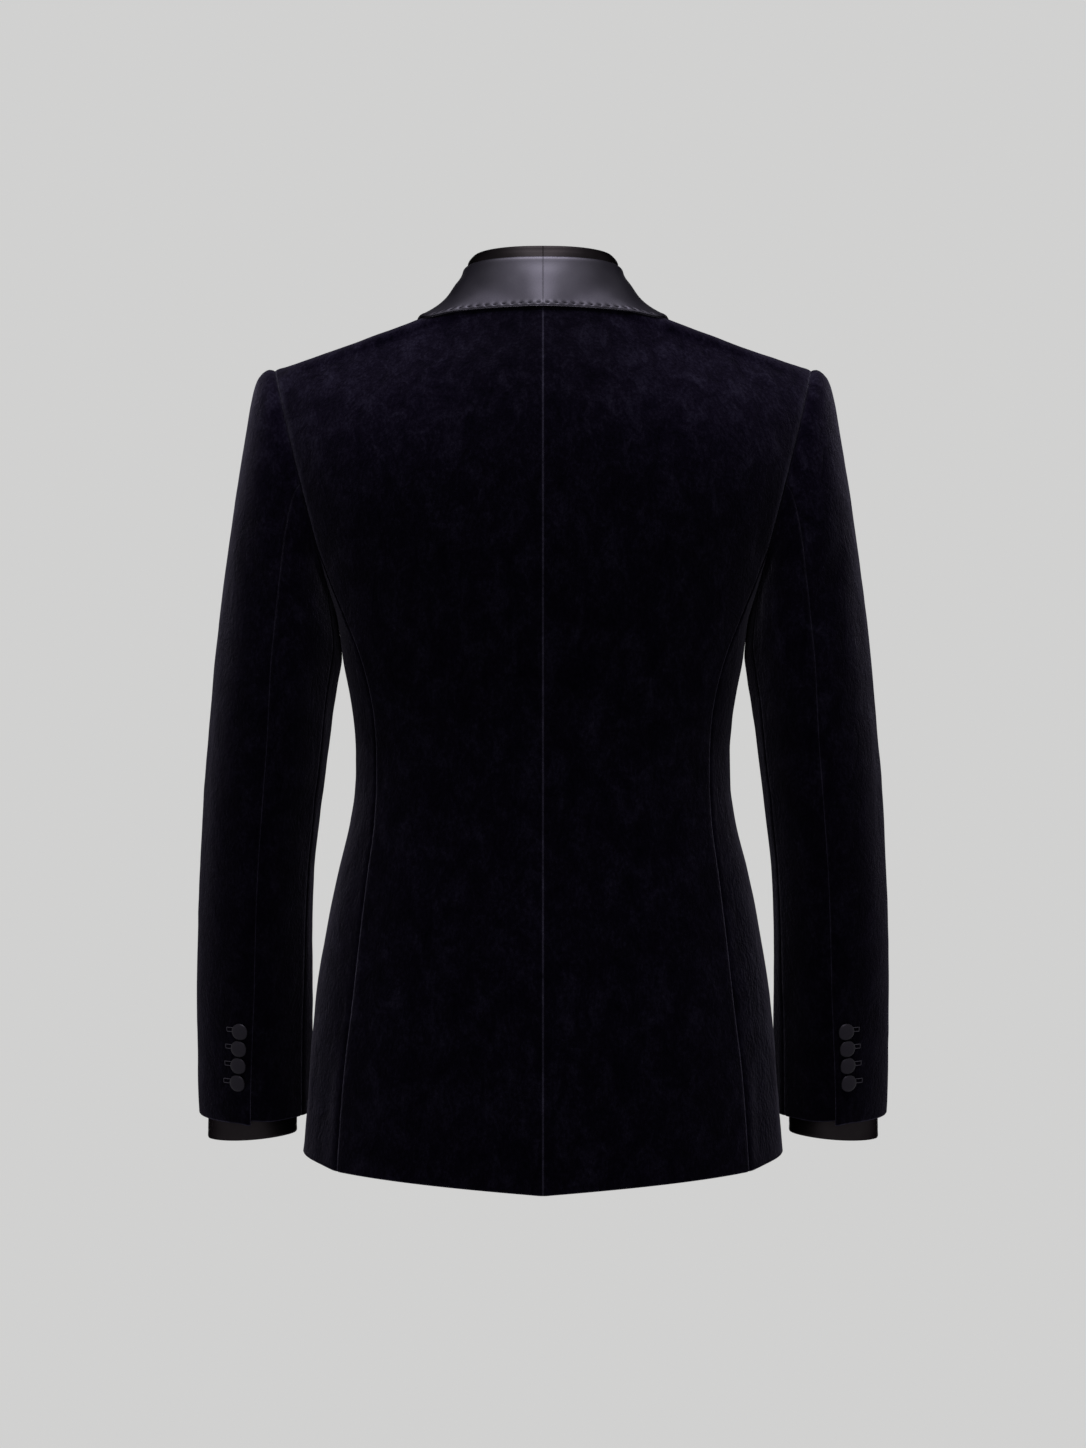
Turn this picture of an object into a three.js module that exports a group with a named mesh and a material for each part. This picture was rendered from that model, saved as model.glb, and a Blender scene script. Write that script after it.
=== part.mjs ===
// A single-breasted velvet dinner jacket with a satin shawl collar, filled out as if worn.
// Millimetres, +Z up, and the jacket faces -Y. The origin is the middle of the neck, level with the nape.
// Each cut piece is a wall of cloth. The left side (+X) is worked out, and the right side mirrors it.
import * as THREE from "three";

// Driving sizes
const CLOTH = 2; // velvet with its canvas
const SATIN = 1.5; // satin with its backing
const SEAM_GAP = 0.3; // between two pieces at a seam
const RIM_TAPER = 0.4; // how much further in a wall's inner side ends at a hem
const SEAM_TAPER = 0.9; // and at a seam
const CREASE_TAPER = 1.7; // and at the creased seam of a sleeve
const HEM_BACK = -742.5; // height of the hem at the centre back
const HEM_BACK_SEAM = -728.5;
const HEM_FRONT_SEAM = -727;
const HEM_FRONT = -744;
const NAPE = { y: 50, z: 3 }; // neck seam at the centre back
const NECK_POINT = { x: 68, y: -2, z: -2.5 }; // where the shoulder seam meets the neck seam
const SHOULDER_SAG = 5.4; // the shoulder seam dips this much between neck and sleeve
const SAG_SKEW = 0.8; // under 1 brings the deepest place nearer to the neck
const UNDERARM = -262; // height of the bottom of the armhole
// Degrees round the armhole from its top, through the back
const BACK_SEAM_ARMHOLE = 119.5; // to the back side seam
const FRONT_SEAM_ARMHOLE = 228; // and to the front side seam
const BACK_SHOULDER = 30; // the part of the armhole that a shoulder takes behind
const FRONT_SHOULDER = 330; // and in front
const BACK_POWER = 2.5; // squareness of the body's sections behind
const FRONT_POWER = 2.3; // and in front
const OVERLAP_TUCK = 8; // how far the right front passes inside the left one
const SIDE_HEM_LIFT = 7; // the hem rises at the side
const BACK_YOKE = -205; // the back's level at the top of its side seam
const FRONT_YOKE = -228; // and the front's
const YOKE_BULGE = { back: 46, front: 132 }; // degrees round the body that a shoulder's bulge is taken from
const BUTTON_HEIGHT = -402;
const BREAK_HEIGHT = -382; // where the lapels start to roll
const NECK_BREAK = -24; // the roll line above this height bends round the neck
const SLEEVE_HEM = 15; // the last station of the sleeve
const VENT_TOP = 12.6; // the station where the sleeve vent starts
const HEM_TILT = 5; // the sleeve's hem hangs lower behind by this much
const CUFF = {
  top: 12.6, // the sleeve's station where it starts
  bottom: -716.5,
  middle: 250.8,
  halfWidth: 38.4,
  halfDepth: 33,
  back: -43,
  lift: 5, // how much higher it ends at the inner side of the wrist
  wall: 1.6,
  offSleeve: 0.4,
};
const SLEEVE_BUTTON = { radius: 7.3, height: 3.4 };
const FRONT_BUTTON = { radius: 10.5, height: 4.2 };

// Heights, half widths and depths of the body, with the place of the back side seam across it
const section = smoothTable("z", [
  { z: -745, half: 205, back: 124, front: 126, seam: 171.5 },
  { z: -714, half: 203.5, back: 123, front: 125, seam: 169.8 },
  { z: -650, half: 198.8, back: 121, front: 124, seam: 165 },
  { z: -588, half: 192.3, back: 116, front: 122, seam: 157.7 },
  { z: -525, half: 181.8, back: 108, front: 120, seam: 151 },
  { z: -483, half: 173, back: 102, front: 119, seam: 146 },
  { z: -441, half: 163, back: 97.5, front: 119, seam: 140.8 },
  { z: -410, half: 159, back: 96, front: 119.5, seam: 139.3 },
  { z: -385, half: 158.8, back: 96, front: 120, seam: 139.2 },
  { z: -357, half: 160.8, back: 97.5, front: 121.5, seam: 140.2 },
  { z: -336, half: 164, back: 100, front: 123, seam: 142.8 },
  { z: -306, half: 169.6, back: 105, front: 125, seam: 149.5 },
  { z: -271, half: 174, back: 110.5, front: 126, seam: 162.3 },
  { z: -231, half: 184, back: 115.5, front: 125, seam: 178 },
  { z: -205, half: 192, back: 117.5, front: 122.5, seam: 187 },
  { z: -160, half: 205, back: 117.5, front: 114, seam: 195 },
  { z: -110, half: 216, back: 110, front: 99, seam: 205 },
  { z: -60, half: 224, back: 89, front: 74, seam: 214 },
  { z: -24, half: 229, back: 66, front: 47, seam: 218 },
  { z: 3, half: 232, back: 50, front: 30, seam: 220 },
]);

// How far across the front edge and the roll line lie at each height
const frontEdge = smoothTable("z", [
  { z: HEM_FRONT, x: 96 },
  { z: -741, x: 84 },
  { z: -732.5, x: 71.5 },
  { z: -710, x: 58.5 },
  { z: -650, x: 39 },
  { z: -580, x: 18 },
  { z: -500, x: -3 },
  { z: -440, x: -14 },
  { z: -402, x: -17.5 },
  { z: BREAK_HEIGHT, x: -16 },
  { z: -340, x: -7 },
  { z: -200, x: 23.5 },
  { z: -80, x: 50 },
  { z: NECK_BREAK, x: 62 },
]);

// The sleeve's outer and inner outlines seen from behind, its half depth and how far back its middle lies
const sleeveStation = smoothTable("at", [
  { at: 0, outX: 227.5, outZ: -59.5, inX: 175.2, inZ: -264, depth: 62, shift: -3, point: 2.1 },
  { at: 0.4, outX: 232.6, outZ: -59.3, inX: 176.2, inZ: -265.5, depth: 63, shift: -3, point: 2.1 },
  { at: 1, outX: 241, outZ: -66, inX: 175.4, inZ: -271, depth: 64, shift: -3, point: 2.1 },
  { at: 2, outX: 247.5, outZ: -86, inX: 173.6, inZ: -281, depth: 65, shift: -2.5, point: 2.1 },
  { at: 3, outX: 252.7, outZ: -117, inX: 172, inZ: -292, depth: 66, shift: -2, point: 2.1 },
  { at: 4, outX: 258.6, outZ: -153, inX: 171, inZ: -304, depth: 67, shift: -1.5, point: 2.1 },
  { at: 5, outX: 265.3, outZ: -200, inX: 174, inZ: -324, depth: 68, shift: -1, point: 2.1 },
  { at: 6, outX: 272.4, outZ: -253, inX: 178, inZ: -348, depth: 68, shift: -0.5, point: 2.05 },
  { at: 7, outX: 278.5, outZ: -308, inX: 181.6, inZ: -376, depth: 67, shift: -1, point: 2 },
  { at: 8, outX: 283.9, outZ: -364, inX: 186, inZ: -408, depth: 65, shift: -3, point: 1.95 },
  { at: 9, outX: 288.9, outZ: -420, inX: 190.8, inZ: -445, depth: 62, shift: -7, point: 1.9 },
  { at: 10, outX: 292.2, outZ: -472, inX: 195.3, inZ: -486, depth: 59, shift: -11, point: 1.85 },
  { at: 11, outX: 294.8, outZ: -523, inX: 197.4, inZ: -530, depth: 55.5, shift: -17, point: 1.8 },
  { at: 12, outX: 296.5, outZ: -572, inX: 198, inZ: -575, depth: 52, shift: -24, point: 1.7 },
  { at: 13, outX: 297.4, outZ: -617.7, inX: 198.3, inZ: -617.7, depth: 49, shift: -32, point: 1.65 },
  { at: 14, outX: 297.6, outZ: -657.1, inX: 198.8, inZ: -656.1, depth: 46.5, shift: -38, point: 1.6 },
  { at: SLEEVE_HEM, outX: 296.9, outZ: -696, inX: 199.5, inZ: -694, depth: 44.5, shift: -43, point: 1.6 },
]);

// Where the sleeve's two seams lie round it, in degrees from its outer side towards the back
const HIND_AT_ARMHOLE = mix(BACK_SEAM_ARMHOLE, BACK_SHOULDER, 2 / 6);
const INNER_AT_ARMHOLE = mix(BACK_SEAM_ARMHOLE, FRONT_SEAM_ARMHOLE, 2 / 8);
const sleeveSeam = smoothTable("at", [
  { at: 0, hind: HIND_AT_ARMHOLE, inner: INNER_AT_ARMHOLE },
  { at: 0.6, hind: 91, inner: 147.4 },
  { at: 1, hind: 91.2, inner: 147.9 },
  { at: 2, hind: 89.8, inner: 149.1 },
  { at: 3.5, hind: 87.6, inner: 150.9 },
  { at: 6, hind: 90.8, inner: 154 },
  { at: 8, hind: 96.5, inner: 158 },
  { at: 10, hind: 98.5, inner: 159 },
  { at: 12, hind: 98, inner: 156 },
  { at: 13, hind: 95.5, inner: 153 },
  { at: SLEEVE_HEM, hind: 89.5, inner: 152 },
]);

// The collar along its fold: the stand's height, the fold's radius, how far it leans in,
// how far the fall bulges, and which way is outwards
const collarStation = smoothTable("along", [
  { along: -0.1, stand: 24.4, fold: 3.4, lean: 7, bulge: -1.5, outX: -0.72, outY: 0.69, outZ: 0 },
  { along: 0, stand: 24.2, fold: 3.4, lean: 7, bulge: 0, outX: 0, outY: 1, outZ: 0 },
  { along: 0.1, stand: 24.4, fold: 3.4, lean: 7, bulge: -1.5, outX: 0.72, outY: 0.69, outZ: 0 },
  { along: 0.2, stand: 24.4, fold: 3.4, lean: 6, bulge: -6.5, outX: 1, outY: 0, outZ: 0 },
  { along: 0.27, stand: 18, fold: 3.3, lean: 4.5, bulge: -5, outX: 0.78, outY: -0.6, outZ: 0.14 },
  { along: 0.35, stand: 8, fold: 3.2, lean: 1.5, bulge: -1, outX: 0.42, outY: -0.88, outZ: 0.22 },
  { along: 0.44, stand: 2, fold: 3.1, lean: 0, bulge: 2, outX: 0.24, outY: -0.94, outZ: 0.22 },
  { along: 0.6, stand: 1.5, fold: 3, lean: 0, bulge: 4, outX: 0.12, outY: -0.99, outZ: 0.05 },
  { along: 0.8, stand: 1.3, fold: 2.1, lean: 0, bulge: 3, outX: 0.05, outY: -1, outZ: -0.02 },
  { along: 1, stand: 1.2, fold: 1.6, lean: 0, bulge: 0.5, outX: 0, outY: -1, outZ: -0.02 },
]);

// The outer edge of collar and lapel, before it is laid on the body
const collarEdge = smoothTable("along", [
  { along: -0.05, x: -27, y: 58.7, z: -12.9 },
  { along: 0, x: 0, y: 63.5, z: -12.7 },
  { along: 0.05, x: 27, y: 58.7, z: -12.9 },
  { along: 0.1, x: 57, y: 53.2, z: -14.2 },
  { along: 0.14, x: 82, y: 49.5, z: -16.8 },
  { along: 0.157, x: 92, y: 47.8, z: -18.4 },
  { along: 0.172, x: 99, y: 43, z: -19 },
  { along: 0.186, x: 103.5, y: 31, z: -17.6 },
  { along: 0.2, x: 106.5, y: 12, z: -17.4 },
  { along: 0.215, x: 108, y: -2, z: -18.1 },
  { along: 0.23, x: 110, y: -14, z: -20.7 },
  { along: 0.26, x: 113, y: -32, z: -26.6 },
  { along: 0.34, x: 119, y: -62, z: -60 },
  { along: 0.44, x: 116, y: -90, z: -112 },
  { along: 0.55, x: 107, y: -108, z: -170 },
  { along: 0.66, x: 91, y: -117, z: -226 },
  { along: 0.78, x: 66, y: -122, z: -285 },
  { along: 0.9, x: 29, y: -123, z: -342 },
  { along: 1, x: -13, y: -122, z: -386 },
]);

// Soft troughs that the hanging cloth takes, from one point to another, with their width and depth
const folds = [
  { from: [186, 60, -640], to: [178, 62, -735], width: 13, depth: 2.6 },
  { from: [203, 8, -610], to: [206, 8, -735], width: 15, depth: 2.4 },
  { from: [186, -62, -600], to: [190, -66, -735], width: 15, depth: 2.2 },
  { from: [150, 92, -225], to: [112, 108, -330], width: 15, depth: 1.8 },
  { from: [166, 72, -150], to: [178, 66, -235], width: 11, depth: 1.6 },
  { from: [160, -85, -190], to: [120, -112, -300], width: 16, depth: 1.6 },
  { from: [236, 64, -120], to: [214, 66, -225], width: 12, depth: 2.2 },
  { from: [256, 52, -190], to: [216, 68, -300], width: 12, depth: 2.2 },
  { from: [190, 40, -372], to: [246, 66, -398], width: 11, depth: 2 },
  { from: [188, 24, -425], to: [236, 62, -452], width: 11, depth: 2 },
  { from: [186, -40, -400], to: [250, -66, -426], width: 12, depth: 2.6 },
  { from: [190, -48, -446], to: [240, -72, -470], width: 11, depth: 2.2 },
  { from: [246, -66, -110], to: [222, -68, -210], width: 13, depth: 2.2 },
];

function deg(degrees) {
  return (degrees * Math.PI) / 180;
}

function mix(a, b, t) {
  return a + (b - a) * t;
}

function smoothstep(low, high, x) {
  const t = Math.min(1, Math.max(0, (x - low) / (high - low)));
  return t * t * (3 - 2 * t);
}

function signedPower(x, power) {
  return Math.sign(x) * Math.abs(x) ** power;
}

// A table of named columns, read at any value of its key by monotone cubic interpolation.
function smoothTable(key, rows) {
  const keys = rows.map((row) => row[key]);
  const names = Object.keys(rows[0]).filter((name) => name !== key);
  const slopes = {};
  for (const name of names) {
    const rise = [];
    for (let i = 1; i < keys.length; i++) {
      rise.push((rows[i][name] - rows[i - 1][name]) / (keys[i] - keys[i - 1]));
    }
    slopes[name] = keys.map((_, i) => {
      if (i === 0) return rise[0];
      if (i === keys.length - 1) return rise[i - 1];
      const product = rise[i - 1] * rise[i];
      return product <= 0 ? 0 : (2 * product) / (rise[i - 1] + rise[i]);
    });
  }
  return (value) => {
    let i = keys.findIndex((k) => k > value) - 1;
    if (value >= keys[keys.length - 1]) i = keys.length - 2;
    if (value <= keys[0]) i = 0;
    const span = keys[i + 1] - keys[i];
    const t = Math.min(1, Math.max(0, (value - keys[i]) / span));
    const found = {};
    for (const name of names) {
      found[name] =
        (1 + 2 * t) * (1 - t) ** 2 * rows[i][name] +
        t * (1 - t) ** 2 * span * slopes[name][i] +
        t * t * (3 - 2 * t) * rows[i + 1][name] +
        t * t * (t - 1) * span * slopes[name][i + 1];
    }
    return found;
  };
}

// The body's form

// A point on the body's section at a height. The angle runs from 0 at the centre back to pi at the front.
function bodyPoint(angle, z) {
  const at = section(z);
  const behind = Math.cos(angle) > 0;
  const power = 2 / (behind ? BACK_POWER : FRONT_POWER);
  const x = at.half * signedPower(Math.sin(angle), power);
  const y = (behind ? at.back : at.front) * signedPower(Math.cos(angle), power);
  return new THREE.Vector3(x, y, z);
}

function backAngle(x, z) {
  return Math.asin(Math.min(1, x / section(z).half) ** (BACK_POWER / 2));
}

function frontAngle(x, z) {
  return Math.PI - Math.asin(signedPower(x / section(z).half, FRONT_POWER / 2));
}

// The front side seam lies a little in front of the body's widest place.
function frontSeamAngle(z) {
  const share = mix(0.925, 0.955, smoothstep(-420, UNDERARM, z));
  return frontAngle(section(z).half * share, z);
}

// The armhole is where the sleeve starts, so it is the sleeve's first ring.
function armholePoint(degrees) {
  return sleevePoint(deg(degrees), 0);
}

// The side body: across runs from its back seam to its front seam, and up from the hem to the armhole.
function sidePoint(across, up) {
  const top = armholePoint(mix(BACK_SEAM_ARMHOLE, FRONT_SEAM_ARMHOLE, across));
  const hem = mix(HEM_BACK_SEAM, HEM_FRONT_SEAM, across) + SIDE_HEM_LIFT * Math.sin(Math.PI * across);
  const z = mix(hem, top.z, up);
  const at = (height) => {
    const backSeam = backAngle(section(height).seam, height);
    return bodyPoint(mix(backSeam, frontSeamAngle(height), across), height);
  };
  const point = at(z);
  const miss = top.clone().sub(at(top.z));
  return point.addScaledVector(miss, smoothstep(0.62, 1, up));
}

// The edge of the front, from the hem up to where the roll line bends round the neck
function frontEdgePoint(z) {
  return bodyPoint(frontAngle(frontEdge(z).x, z), z);
}

// The neck seam and roll line, from 0 at the centre back, past the shoulder seam, to 1 at the lapel's bottom
const NECK_SHARE = 0.2;
const NECK_SQUARE = 0.05; // how much flatter than an ellipse the neck seam runs across the back
const neckRows = [];
for (let i = -1; i <= 8; i++) {
  const turn = deg(11.25 * i);
  const square = 1 + NECK_SQUARE * Math.sin(2 * turn) ** 2;
  neckRows.push({
    x: NECK_POINT.x * Math.sin(turn) * square,
    y: mix(NECK_POINT.y, NAPE.y, Math.cos(turn) * square),
    z: mix(NECK_POINT.z, NAPE.z, Math.cos(turn)),
    along: (NECK_SHARE * i) / 8,
  });
}
const rollPoints = [
  new THREE.Vector3(NECK_POINT.x, NECK_POINT.y, NECK_POINT.z),
  new THREE.Vector3(NECK_POINT.x - 1.2, NECK_POINT.y - 22, NECK_POINT.z - 5),
];
const ROLL_STEPS = 8;
for (const z of steps(NECK_BREAK, BREAK_HEIGHT, ROLL_STEPS)) rollPoints.push(frontEdgePoint(z));
const rollLengths = rollPoints.map((p, i) => (i ? p.distanceTo(rollPoints[i - 1]) : 0));
const rollLength = rollLengths.reduce((a, b) => a + b);
let rolled = 0;
rollPoints.forEach((p, i) => {
  rolled += rollLengths[i];
  if (i) neckRows.push({ x: p.x, y: p.y, z: p.z, along: mix(NECK_SHARE, 1, rolled / rollLength) });
});
const NECK_BREAK_ALONG = mix(NECK_SHARE, 1, (rollLengths[1] + rollLengths[2]) / rollLength);
const neckLine = smoothTable("along", neckRows);

function neckPoint(along) {
  const at = neckLine(Math.abs(along));
  return new THREE.Vector3(at.x * Math.sign(along || 1), at.y, at.z);
}

function neckTangent(along) {
  const ahead = neckPoint(Math.min(1, along + 0.004));
  return ahead.sub(neckPoint(along - 0.004)).normalize();
}

// A row of cloth from start to end that bulges as the body's section does between two angles.
function rowPoint(across, start, end, fromAngle, toAngle, z) {
  const a = bodyPoint(fromAngle, z);
  const b = bodyPoint(toAngle, z);
  const p = bodyPoint(mix(fromAngle, toAngle, across), z);
  const acrossX = (p.x - a.x) / (b.x - a.x);
  const acrossY = (p.y - a.y) / (b.y - a.y);
  return new THREE.Vector3(
    mix(start.x, end.x, acrossX),
    mix(start.y, end.y, acrossY),
    mix(start.z, end.z, acrossX),
  );
}

// The shoulder seam sags between neck and sleeve.
function shoulderSag(point, start, end, share) {
  const along = (point.x - start.x) / (end.x - start.x);
  point.z -= SHOULDER_SAG * Math.sin(Math.PI * Math.max(0, along) ** SAG_SKEW) * share;
  return point;
}

// The back: across 0 is the centre seam.
// Up runs to 1 by the side seam, to 2 by the armhole and to 3 along the neck.
function backPoint(across, up) {
  const beside = Math.min(up, 1);
  const armhole = Math.min(Math.max(up - 1, 0), 1);
  const neck = Math.max(up - 2, 0);
  const z = up < 1 ? mix(HEM_BACK, BACK_YOKE, beside) : mix(BACK_YOKE, NAPE.z, armhole);
  const start = up < 2 ? bodyPoint(0, z) : neckPoint(NECK_SHARE * neck);
  const angle = mix(mix(BACK_SEAM_ARMHOLE, BACK_SHOULDER, armhole), 0, neck);
  const end = up < 1 ? sidePoint(0, beside) : armholePoint(angle);
  const level = Math.min(mix(start.z, end.z, 0.5), BACK_YOKE - 7);
  const turn = mix(backAngle(section(level).seam, level), deg(YOKE_BULGE.back), smoothstep(1, 3, up));
  const point = rowPoint(across, start, end, 0, turn, level);
  return shoulderSag(point, start, end, smoothstep(2, 3, up));
}

// The front: across 0 is its front edge or roll line, and up runs as on the back.
function frontPoint(across, up) {
  const beside = Math.min(up, 1);
  const armhole = Math.min(Math.max(up - 1, 0), 1);
  const neck = Math.max(up - 2, 0);
  const z = up < 1 ? mix(HEM_FRONT, FRONT_YOKE, beside) : mix(FRONT_YOKE, NECK_BREAK, armhole);
  const start = up < 2 ? frontEdgePoint(z) : neckPoint(mix(NECK_BREAK_ALONG, NECK_SHARE, neck));
  const angle = mix(mix(FRONT_SEAM_ARMHOLE, FRONT_SHOULDER, armhole), 360, neck);
  const end = up < 1 ? sidePoint(1, beside) : armholePoint(angle);
  const level = Math.min(mix(start.z, end.z, 0.5), FRONT_YOKE - 2);
  const turn = mix(frontSeamAngle(level), deg(YOKE_BULGE.front), smoothstep(1, 3, up));
  const edgeAngle = frontAngle(frontEdge(Math.min(z, NECK_BREAK)).x, level);
  const point = rowPoint(across, start, end, edgeAngle, turn, level);
  return shoulderSag(point, start, end, smoothstep(2, 3, up));
}

// The right front passes inside the left one where they overlap.
function overlapTuck(x, z) {
  const below = smoothstep(-590, -500, z);
  const above = 1 - smoothstep(-300, -225, z);
  return OVERLAP_TUCK * (1 - smoothstep(16, 84, x)) * below * above;
}

// A point of the sleeve, with the angle from its outer side through the back to its inner side.
function sleevePoint(angle, at) {
  const s = sleeveStation(at);
  const power = Math.sin(angle) > 0 ? 2 / s.point : 2 / 2.1;
  const along = signedPower(Math.cos(angle), power);
  const deep = signedPower(Math.sin(angle), power);
  const middleX = mix(s.inX, s.outX, 0.5);
  const middleZ = mix(s.inZ, s.outZ, 0.5);
  return new THREE.Vector3(
    middleX + ((s.outX - s.inX) / 2) * along,
    s.shift + s.depth * deep,
    middleZ + ((s.outZ - s.inZ) / 2) * along - HEM_TILT * deep * smoothstep(7, SLEEVE_HEM, at),
  );
}

function sleeveMiddle(at) {
  return sleevePoint(Math.PI, at).lerp(sleevePoint(0, at), 0.5);
}

// Cloth walls

// A grid of points, rows by columns, from a function of across and up.
function gridOf(pointAt, acrosses, ups) {
  return ups.map((up) => acrosses.map((across) => pointAt(across, up)));
}

function steps(from, to, count) {
  return Array.from({ length: count + 1 }, (_, i) => mix(from, to, i / count));
}

// Unit normals of a grid, on the side where the across direction turns into the up direction.
function normalsOf(grid) {
  const rows = grid.length;
  const columns = grid[0].length;
  return grid.map((row, i) =>
    row.map((_, j) => {
      const across = row[Math.min(j + 1, columns - 1)].clone().sub(row[Math.max(j - 1, 0)]);
      const up = grid[Math.min(i + 1, rows - 1)][j].clone().sub(grid[Math.max(i - 1, 0)][j]);
      return across.cross(up).normalize();
    }),
  );
}

// Each trough takes the points near its line inwards, fading out at its ends.
function foldDepth(point) {
  let depth = 0;
  for (const fold of folds) {
    const from = new THREE.Vector3(...fold.from);
    const line = new THREE.Vector3(...fold.to).sub(from);
    const t = Math.min(1, Math.max(0, point.clone().sub(from).dot(line) / line.lengthSq()));
    const away = point.distanceTo(from.addScaledVector(line, t));
    depth += fold.depth * Math.exp(-((away / fold.width) ** 2)) * Math.sin(Math.PI * mix(0.1, 1, t)) ** 0.5;
  }
  return depth;
}

// The troughs go towards a middle point that is found from each point and its row.
function foldedGrid(grid, middleOf) {
  const towards = (p, i) => middleOf(p, i).sub(p).normalize();
  return grid.map((row, i) => row.map((p) => p.clone().addScaledVector(towards(p, i), foldDepth(p))));
}

function bodyMiddle(p) {
  return new THREE.Vector3(0, 0, p.z);
}

// Draws a grid's rim in along the cloth, by one distance at its end rows and another at its end columns.
function drawnIn(grid, distance, columnDistance) {
  const rows = grid.length;
  const columns = grid[0].length;
  const towards = (p, q, by) => q.clone().sub(p).normalize().multiplyScalar(by);
  return grid.map((row, i) =>
    row.map((p, j) => {
      const moved = p.clone();
      if (j === 0) moved.add(towards(p, row[1], columnDistance));
      if (j === columns - 1) moved.add(towards(p, row[columns - 2], columnDistance));
      if (i === 0) moved.add(towards(p, grid[1][j], distance));
      if (i === rows - 1) moved.add(towards(p, grid[rows - 2][j], distance));
      return moved;
    }),
  );
}

// A closed wall between an outer and an inner grid. Outward is 1 where the grid's normals point out.
function wallBetween(outer, inner, outward, mirrored, ring) {
  const rows = outer.length;
  const columns = outer[0].length;
  const positions = [];
  for (const p of [...outer, ...inner].flat()) positions.push(mirrored ? -p.x : p.x, p.y, p.z);
  const index = [];
  const flip = outward * (mirrored ? -1 : 1) < 0;
  const quad = (a, b, c, d) => (flip ? index.push(a, c, b, a, d, c) : index.push(a, b, c, a, c, d));
  const out = (i, j) => i * columns + (j % columns);
  const into = (i, j) => rows * columns + i * columns + (j % columns);
  const spans = ring ? columns : columns - 1;
  for (let i = 0; i < rows - 1; i++) {
    for (let j = 0; j < spans; j++) {
      quad(out(i, j), out(i, j + 1), out(i + 1, j + 1), out(i + 1, j));
      quad(into(i, j), into(i + 1, j), into(i + 1, j + 1), into(i, j + 1));
    }
    if (!ring) {
      quad(out(i, 0), out(i + 1, 0), into(i + 1, 0), into(i, 0));
      quad(out(i + 1, spans), out(i, spans), into(i, spans), into(i + 1, spans));
    }
  }
  for (let j = 0; j < spans; j++) {
    quad(out(0, j + 1), out(0, j), into(0, j), into(0, j + 1));
    quad(out(rows - 1, j), out(rows - 1, j + 1), into(rows - 1, j + 1), into(rows - 1, j));
  }
  const geometry = new THREE.BufferGeometry();
  geometry.setAttribute("position", new THREE.Float32BufferAttribute(positions, 3));
  geometry.setIndex(index);
  return geometry;
}

// A wall of cloth on a grid, with its rim drawn in for the seam and its thickness on the inside.
function clothWall(grid, outward, thickness, mirrored, seamTaper = SEAM_TAPER) {
  const outer = drawnIn(grid, SEAM_GAP / 2, SEAM_GAP / 2);
  const normals = normalsOf(grid);
  const taper = drawnIn(grid, SEAM_GAP / 2 + RIM_TAPER, SEAM_GAP / 2 + seamTaper);
  const thicken = (p, normal) => p.clone().addScaledVector(normal, -outward * thickness);
  const inner = taper.map((row, i) => row.map((p, j) => thicken(p, normals[i][j])));
  // A rim on the centre seam is flat, so that the other half meets it.
  grid.forEach((row, i) =>
    row.forEach((p, j) => {
      if (Math.abs(p.x) > 1e-6 || p.y < 0) return;
      outer[i][j].x = SEAM_GAP / 2;
      inner[i][j].x = SEAM_GAP / 2;
    }),
  );
  return wallBetween(outer, inner, outward, mirrored, false);
}

// Materials and the group
const velvet = new THREE.MeshStandardMaterial({ color: 0x0b0b16, roughness: 0.95, metalness: 0 });
const satin = new THREE.MeshStandardMaterial({ color: 0x24242c, roughness: 0.42, metalness: 0 });
const innerBlack = new THREE.MeshStandardMaterial({ color: 0x100f10, roughness: 0.5, metalness: 0 });

const jacket = new THREE.Group();
const SIDES = [
  { name: "left", mirrored: false },
  { name: "right", mirrored: true },
];

function add(name, geometry, material) {
  const mesh = new THREE.Mesh(geometry, material);
  mesh.name = name;
  jacket.add(mesh);
  return mesh;
}

// Body panels, whose rows meet at the seams
const besideSeam = [0, 0.012, 0.035, 0.08, ...steps(0.15, 1, 9)];
const bodyRows = [...besideSeam, ...steps(1, 2, 6).slice(1), ...steps(2, 3, 3).slice(1)];
const tucked = (p) => new THREE.Vector3(p.x, p.y + overlapTuck(p.x, p.z), p.z);
const backGrid = foldedGrid(gridOf(backPoint, steps(0, 1, 8), bodyRows), bodyMiddle);
const sideGrid = foldedGrid(gridOf(sidePoint, steps(0, 1, 8), besideSeam), bodyMiddle);
const frontGrid = foldedGrid(gridOf(frontPoint, steps(0, 1, 9), bodyRows), bodyMiddle);
for (const side of SIDES) {
  const front = side.mirrored ? frontGrid.map((row) => row.map(tucked)) : frontGrid;
  add("back_" + side.name, clothWall(backGrid, -1, CLOTH, side.mirrored), velvet);
  add("side_" + side.name, clothWall(sideGrid, -1, CLOTH, side.mirrored), velvet);
  add("front_" + side.name, clothWall(front, 1, CLOTH, side.mirrored), velvet);
}

// Sleeves, each of a top and an under sleeve, whose columns start where the body's rows meet the armhole
const sleeveRows = [0, 0.4, 1, 2, 3, 4, 5, 6, 7, 8, 9, 10, 11, 12, 12.6, 13.8, SLEEVE_HEM];
const VENT_LIFT = 1.2;
const backArmhole = [...steps(BACK_SEAM_ARMHOLE, BACK_SHOULDER, 6), ...steps(BACK_SHOULDER, 0, 3).slice(1)];
const sideArmhole = steps(BACK_SEAM_ARMHOLE, FRONT_SEAM_ARMHOLE, 8);
const frontArmhole = [
  ...steps(FRONT_SEAM_ARMHOLE, FRONT_SHOULDER, 6),
  ...steps(FRONT_SHOULDER, 360, 3).slice(1),
];
const topArmhole = [
  ...sideArmhole.slice(2).map((angle) => angle - 360),
  ...frontArmhole.slice(1).map((angle) => angle - 360),
  ...backArmhole.slice(2, -1).reverse(),
];
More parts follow.
